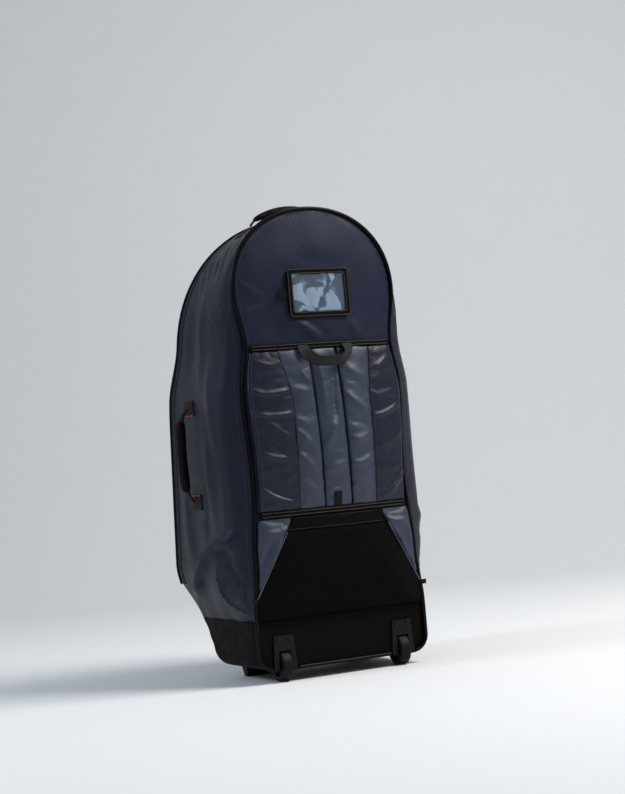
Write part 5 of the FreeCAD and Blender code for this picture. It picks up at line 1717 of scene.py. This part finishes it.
    def seams(self) -> tuple[list, list]:
        """Stitched boxes with crosses on the patches, and the bar tacks above them."""
        box, tack = [], []
        for side in (1, -1):
            for low, high in self.patches:
                y0, y1, z0, z1 = 0.0155, 0.0585, low + 0.004, high - 0.004
                lines = (((y0, z0), (y1, z0), (y1, z1), (y0, z1), (y0, z0)), ((y0, z0), (y1, z1)),
                         ((y0, z1), (y1, z0)))
                for line in lines:
                    path = resample(np.array([(side * self.patch_face, y, z) for y, z in line]), 0.001)
                    box.append(stitches(path, (float(side), 0.0, 0.0), 0.0034, 0.0025, 0.00040))
                z = low + 0.0022 if low > 0.5 else high - 0.0022
                path = np.array([(side * (self.patch_face + 0.0001), y, z)
                                 for y in np.linspace(0.016, 0.058, 40)])
                tack.append(sweep(path, (float(side), 0.0, 0.0), strap_section(0.0026, 0.0012, 10)))
        return box, tack


# ---------------------------------------------------------------- base
@dataclass(frozen=True)
class Base:
    """Dark cloth tub round the base, between the wheels and the gussets."""

    form: Form
    paints: Paints
    wall: float = 0.0030
    radius: float = 0.014
    housing_x: tuple[float, float] = (0.1212, 0.1568)
    housing_y: tuple[float, float] = (-0.160, -0.0827)
    housing_z: tuple[float, float] = (0.015, 0.0814)

    def ring(self, station: float, inset: float) -> Points:
        """Plan outline at a station, from the right back corner round the front and along the back.

        Args:
            station: Station from 1 to 3.
            inset: Distance inward.

        Returns:
            Points round the outline.
        """
        f = self.form
        s = np.array(station)
        _, z0 = f.at(f.body, s)
        front = float(f.front(z0)) - inset
        y = np.concatenate([np.linspace(f.back + inset, f.back + 0.06, 14),
                            np.linspace(f.back + 0.07, front - self.radius, 30)])
        half, z = f.skin(s + 0 * y, y)
        half = half - inset
        turn = np.linspace(0.0, math.pi / 2, 8)[1:]
        corner = columns(half[-1] - self.radius * (1 - np.cos(turn)),
                         front - self.radius * (1 - np.sin(turn)), z[-1] + 0 * turn)
        across = np.linspace(half[-1] - self.radius, 0.0, 30)[1:]
        face = columns(across, front, z[-1])
        right = np.concatenate([columns(half, y, z), corner, face])
        back = np.linspace(-half[0], 0.0, 24)[1:]
        rear = columns(back, f.back + inset, z[0])
        left = (right * MIRROR)[::-1][1:]
        return np.concatenate([right, left, rear, (rear * MIRROR)[::-1][1:-1]])

    def build(self) -> None:
        """Outer and inner tub joined at the rim, creased softly, and cut where the wheel housings pass."""
        f = self.form
        s = np.concatenate([np.linspace(1.0, 2.0, 10), np.linspace(2.0, 2.999, 22)[1:]])
        outer = np.stack([self.ring(a, 0.0) for a in s])
        inner = np.stack([self.ring(a, self.wall) for a in s])
        inner[..., 2] = np.maximum(inner[..., 2], f.low + self.wall)
        centre = np.array((0.0, 0.0, 0.12))
        way = unit((outer - centre) * (1.0, 1.0, 0.3))
        y, z = outer[..., 1], outer[..., 2]
        free = ease((z - 0.034) / 0.02) * ease((0.126 - z) / 0.012) * ease((y - f.back - 0.004) / 0.02)
        turn = np.arctan2(outer[..., 1], outer[..., 0])
        soft = 0.0009 * ripple(turn * 0.2, z, 0.06, 101, 0.7)
        hem = 0.0010 * ease((z - 0.1195) / 0.002)
        outer = outer + way * (free * soft + hem * ease((y - f.back - 0.002) / 0.01))[..., None]
        rows, cols = outer.shape[:2]
        count = rows * cols
        top = (rows - 1) * cols
        rim = [[top + c, top + (c + 1) % cols, top + (c + 1) % cols + count, top + c + count]
               for c in range(cols)]
        inside = [q[::-1] for q in grid_quads(rows, cols, count, wrap=True)]
        faces = grid_quads(rows, cols, wrap=True) + inside + rim
        faces += [list(range(cols))[::-1], list(range(count, count + cols))]
        obj = new_object("base_tub", both_sides(outer, inner), faces)
        for side, _ in SIDES:
            low, high = sorted(side * x for x in self.housing_x)
            cut_box(obj, (low, self.housing_y[0], self.housing_z[0]),
                    (high, self.housing_y[1], self.housing_z[1]))
        obj.data.shade_smooth()
        self.paints.dress(obj, BASE, "bag", "base_fabric", "base_cover", fill=0.2)


# ---------------------------------------------------------------- hard parts, seams and setting
HARD = {
    BOARD: ("back_board",), ALUMINIUM: ("back_stays",), CARD: ("id_card",),
    MOULDING: ("right_wheel_housing", "left_wheel_housing", "base_tray", "front_feet", "right_wheel_hub",
               "left_wheel_hub"),
    TYRE: ("right_tyre", "left_tyre"),
    STEEL: ("right_axle", "left_axle", "right_wheel_bearings", "left_wheel_bearings"),
    BLACK_STEEL: ("housing_screws", "foot_screws"),
    ZIP_METAL: ("zip_slider_lower", "zip_slider_upper", "zip_puller_lower", "zip_puller_upper"),
}


@dataclass(frozen=True)
class Seams:
    """Thread on the finished cloth. Each level row is its height and how far it reaches to either side."""

    form: Form
    paints: Paints
    lumbar_rows: tuple[tuple[float, float], ...] = ((0.3355, 0.099), (0.3125, 0.115))
    band_rows: tuple[tuple[float, float], ...] = ((0.6876, 0.158), (0.6944, 0.158), (0.3426, 0.166),
                                                  (0.3494, 0.166))

    def level_lines(self, rows: Iterable[tuple[float, float]]) -> list:
        """Level lines on the back panel."""
        lines = []
        for level, reach in rows:
            x = np.linspace(-reach, reach, 220)
            lines.append(columns(x, self.form.panel(x, x * 0 + level), level))
        return lines

    def put(self, name: str, rows: list, finish: Finish, slot: str) -> None:
        """Joins rows of stitches into one piece."""
        obj = new_object(name, *merge(rows))
        self.paints.dress(obj, finish, "bag", slot)

    def fall(self, tree: BVHTree, lines: Iterable[Points], way: Place, **size: float) -> list:
        """Rows of stitches where lines land on pieces along a direction."""
        rows = []
        for line in lines:
            landed, normals = project(tree, resample(line, 0.002), way)
            if len(landed) > 3:
                rows.append(stitches(landed, normals, **size))
        return rows

    def harness(self, harness: Harness) -> None:
        """Rows on the pads, bands, lumbar pieces and back panel."""
        f = self.form
        skins = [o for o in bpy.data.objects
                 if o.name.endswith(("_pad", "_tape", "band_cloth", "lumbar_mesh", "panel_cloth"))]
        tree = surface_tree(skins)
        z = np.linspace(harness.low + 0.006, harness.high - 0.006, 200)
        lines = []
        for side in (1, -1):
            for off in (-0.0042, 0.0042):
                lines.append(columns(side * (harness.seam_line(z, side) + off), f.panel(z * 0, z), z))
            edge = f.seam_half(z) - harness.margin - 0.006
            lines.append(columns(side * edge, f.panel(edge, z), z))
        lines += self.level_lines(self.lumbar_rows)
        s = np.linspace(5.2, 6.999, 500)
        x, height = f.at(f.seam, s)
        keep = height > 0.702
        arch = columns(np.maximum(x - 0.0085, 0.0), f.panel(x, height),
                       height - 0.0085 * ease((s - 6.0) * 1.2))[keep]
        lines += [arch, arch * MIRROR]
        self.put("pad_thread", self.fall(tree, lines, (0.0, 1.0, 0.0), radius=0.00042), DARK_THREAD,
                 "pad_fabric")
        lines = self.level_lines(self.band_rows)
        self.put("band_thread",
                 self.fall(tree, lines, (0.0, 1.0, 0.0), pitch=0.0056, length=0.0034, radius=0.00046), THREAD,
                 "webbing")

    def gusset(self, gusset: Piece) -> None:
        """Row beside the back seam on the gussets."""
        f = self.form
        tree = surface_tree([gusset])
        s = np.linspace(3.02, CROWN, 1500)
        x, z = f.skin(s, 0 * s + f.back + 0.0068)
        rows = []
        for side in (1.0, -1.0):
            line = resample(columns(side * x, 0 * x + f.back + 0.0068, z), 0.002)
            found = [tree.find_nearest(Vector(p)) for p in line]
            spots = np.array([hit[0] for hit in found])
            rows.append(stitches(spots, np.array([hit[1] for hit in found]), radius=0.00032))
        self.put("gusset_thread", rows, DARK_THREAD, "shell_fabric")


@dataclass(frozen=True)
class Setting:
    """Floor, backdrop, lights and camera."""

    lens: float = 81.9
    far: float = 3.8
    azimuth: float = -26.5
    elevation: float = -0.5
    roll: float = -5.0
    shift: tuple[float, float] = (-0.0174, 0.0578)
    aim: tuple[float, float, float] = (0.0, -0.139, 0.4855)
    glow: float = 0.34
    glow_seen: float = 0.33

    def floor(self) -> None:
        """Pale floor that curves up into a backdrop behind the bag, and is clear from its other side."""
        run = np.concatenate([[(-6.0, 0.0), (2.2, 0.0)],
                              [(2.2 + 1.6 * math.sin(a), 1.6 - 1.6 * math.cos(a))
                               for a in np.linspace(0.1, math.pi / 2, 14)], [(3.8, 7.0)]])
        across = np.linspace(-7.0, 7.0, 12)
        ahead, right = np.array((0.5, 0.866, 0.0)), np.array((0.866, -0.5, 0.0))
        grid = np.array([[ahead * d + right * a + np.array((0.0, 0.0, h)) for a in across] for d, h in run])
        mesh = bpy.data.meshes.new("floor")
        mesh.from_pydata(grid.reshape(-1, 3).tolist(), [], grid_quads(*grid.shape[:2]))
        obj = bpy.data.objects.new("floor", mesh)
        bpy.context.scene.collection.objects.link(obj)
        mesh.shade_smooth()
        paper = Finish("paper", (0.82, 0.82, 0.82), 0.8, Weave.GRAIN, 0.004, 0.00002, vary=0.01,
                       specular=0.2).build()
        tree = paper.node_tree
        clear, mix = tree.nodes.new("ShaderNodeBsdfTransparent"), tree.nodes.new("ShaderNodeMixShader")
        tree.links.new(tree.nodes.new("ShaderNodeNewGeometry").outputs["Backfacing"], mix.inputs[0])
        tree.links.new(tree.nodes["Principled BSDF"].outputs[0], mix.inputs[1])
        tree.links.new(clear.outputs[0], mix.inputs[2])
        tree.links.new(mix.outputs[0], tree.nodes["Material Output"].inputs["Surface"])
        mesh.materials.append(paper)

    def lamp(self, name: str, place: Place, size: float, power: float, colour: Place) -> None:
        """Square soft lamp aimed at the middle of the bag."""
        data = bpy.data.lights.new(name, "AREA")
        data.shape = "SQUARE"
        data.size = size
        data.energy = power
        data.color = colour
        obj = bpy.data.objects.new(name, data)
        obj.location = place
        obj.rotation_mode = "QUATERNION"
        obj.rotation_quaternion = (Vector((0.0, 0.0, 0.5)) - Vector(place)).to_track_quat("-Z", "Y")
        bpy.context.scene.collection.objects.link(obj)

    def build(self) -> None:
        """Sets the whole stage."""
        scene = bpy.context.scene
        scene.view_settings.view_transform = "Standard"
        self.floor()
        world = bpy.data.worlds.new("world")
        world.use_nodes = True
        sky = world.node_tree.nodes["Background"]
        sky.inputs["Color"].default_value = (0.84, 0.91, 1.0, 1.0)
        kit = NodeKit(world.node_tree)
        seen = world.node_tree.nodes.new("ShaderNodeLightPath").outputs["Is Camera Ray"]
        kit.feed(sky.inputs["Strength"], kit.maths("MULTIPLY_ADD", seen, self.glow_seen, self.glow))
        scene.world = world
        self.lamp("key", (1.7, -1.5, 3.1), 1.5, 125.0, (1.0, 0.985, 0.96))
        self.lamp("side", (-3.0, 0.4, 2.3), 1.0, 38.0, (0.76, 0.87, 1.0))
        data = bpy.data.cameras.new("camera")
        data.lens = self.lens
        data.shift_x, data.shift_y = self.shift
        camera = bpy.data.objects.new("camera", data)
        a, e = math.radians(self.azimuth), math.radians(self.elevation)
        back = Vector((math.sin(a) * math.cos(e), -math.cos(a) * math.cos(e), math.sin(e)))
        camera.location = Vector(self.aim) + self.far * back
        camera.rotation_mode = "QUATERNION"
        look = (-back).to_track_quat("-Z", "Y")
        camera.rotation_quaternion = look @ Quaternion((0.0, 0.0, 1.0), math.radians(self.roll))
        scene.collection.objects.link(camera)
        scene.camera = camera


def soften(node: str, width: float) -> None:
    """Rounds the sharp edges of a moulded part."""
    bevel = bpy.data.objects[node].modifiers.new("edges", "BEVEL")
    bevel.width = width
    bevel.segments = 2
    bevel.limit_method = "ANGLE"
    bevel.angle_limit = math.radians(50.0)


def ties(paints: Paints) -> None:
    """Two flat straps across the back wall inside."""
    lo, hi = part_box("inner_tie_straps")
    rows = []
    for z in (lo[2] + 0.0125, hi[2] - 0.0125):
        path = columns(np.linspace(lo[0] + 0.001, hi[0] - 0.001, 40), (lo[1] + hi[1]) / 2, z)
        rows.append(sweep(path, (0.0, -1.0, 0.0), strap_section(0.024, hi[1] - lo[1])))
    points, faces = merge(rows)
    obj = new_object("tie_webs", points, faces, points[:, (0, 2)])
    paints.dress(obj, WEBBING, "bag", "webbing", "inner_tie_straps")


def spine_tab(paints: Paints, sleeve: Piece) -> None:
    """Short webbing tab that rises from the lower band over the sleeve."""
    z = np.linspace(0.3536, 0.3826, 24)
    landed, _ = project(surface_tree([sleeve]), columns(0 * z, 0 * z - 0.17, z), (0.0, 1.0, 0.0))
    path = landed.copy()
    path[:, 1] = np.maximum(path[:, 1] - 0.0009, -0.1772)
    points, faces = sweep(resample(path, 0.0015), (0.0, -1.0, 0.0), strap_section(0.0178, 0.0022))
    tab = new_object("spine_web", points, faces, points[:, (0, 2)])
    paints.dress(tab, WEBBING, "bag", "webbing", "spine_tab")


def main() -> None:
    """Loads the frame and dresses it."""
    logging.basicConfig(level=logging.INFO, format="%(message)s")
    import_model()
    form, paints = Form(), Paints()
    gusset = Shell(form, paints).build()
    room = ClothRoom(paints)
    harness = Harness(form, paints, room)
    harness.build()
    room.run()
    window = Window(form, paints)
    window.frame()
    window.pane()
    GrabLoop(paints).build()
    handles = Handles(form, paints)
    handles.top()
    handles.side(1, "right")
    handles.side(-1, "left")
    Base(form, paints).build()
    ties(paints)
    spine_tab(paints, bpy.data.objects["spine_sleeve_pad"])
    seams = Seams(form, paints)
    seams.harness(harness)
    seams.gusset(gusset)
    seams.put("frame_thread", window.seams(), THREAD, "webbing")
    box, tack = handles.seams()
    seams.put("patch_thread", box, WARM_THREAD, "webbing")
    seams.put("bar_tacks", tack, BARTACK, "webbing")
    for finish, nodes in HARD.items():
        for node in nodes:
            paints.put(bpy.data.objects[node], finish)
    for node in ("right_wheel_housing", "left_wheel_housing", "front_feet"):
        soften(node, 0.0007)
    Setting().build()


if __name__ == "__main__":
    main()
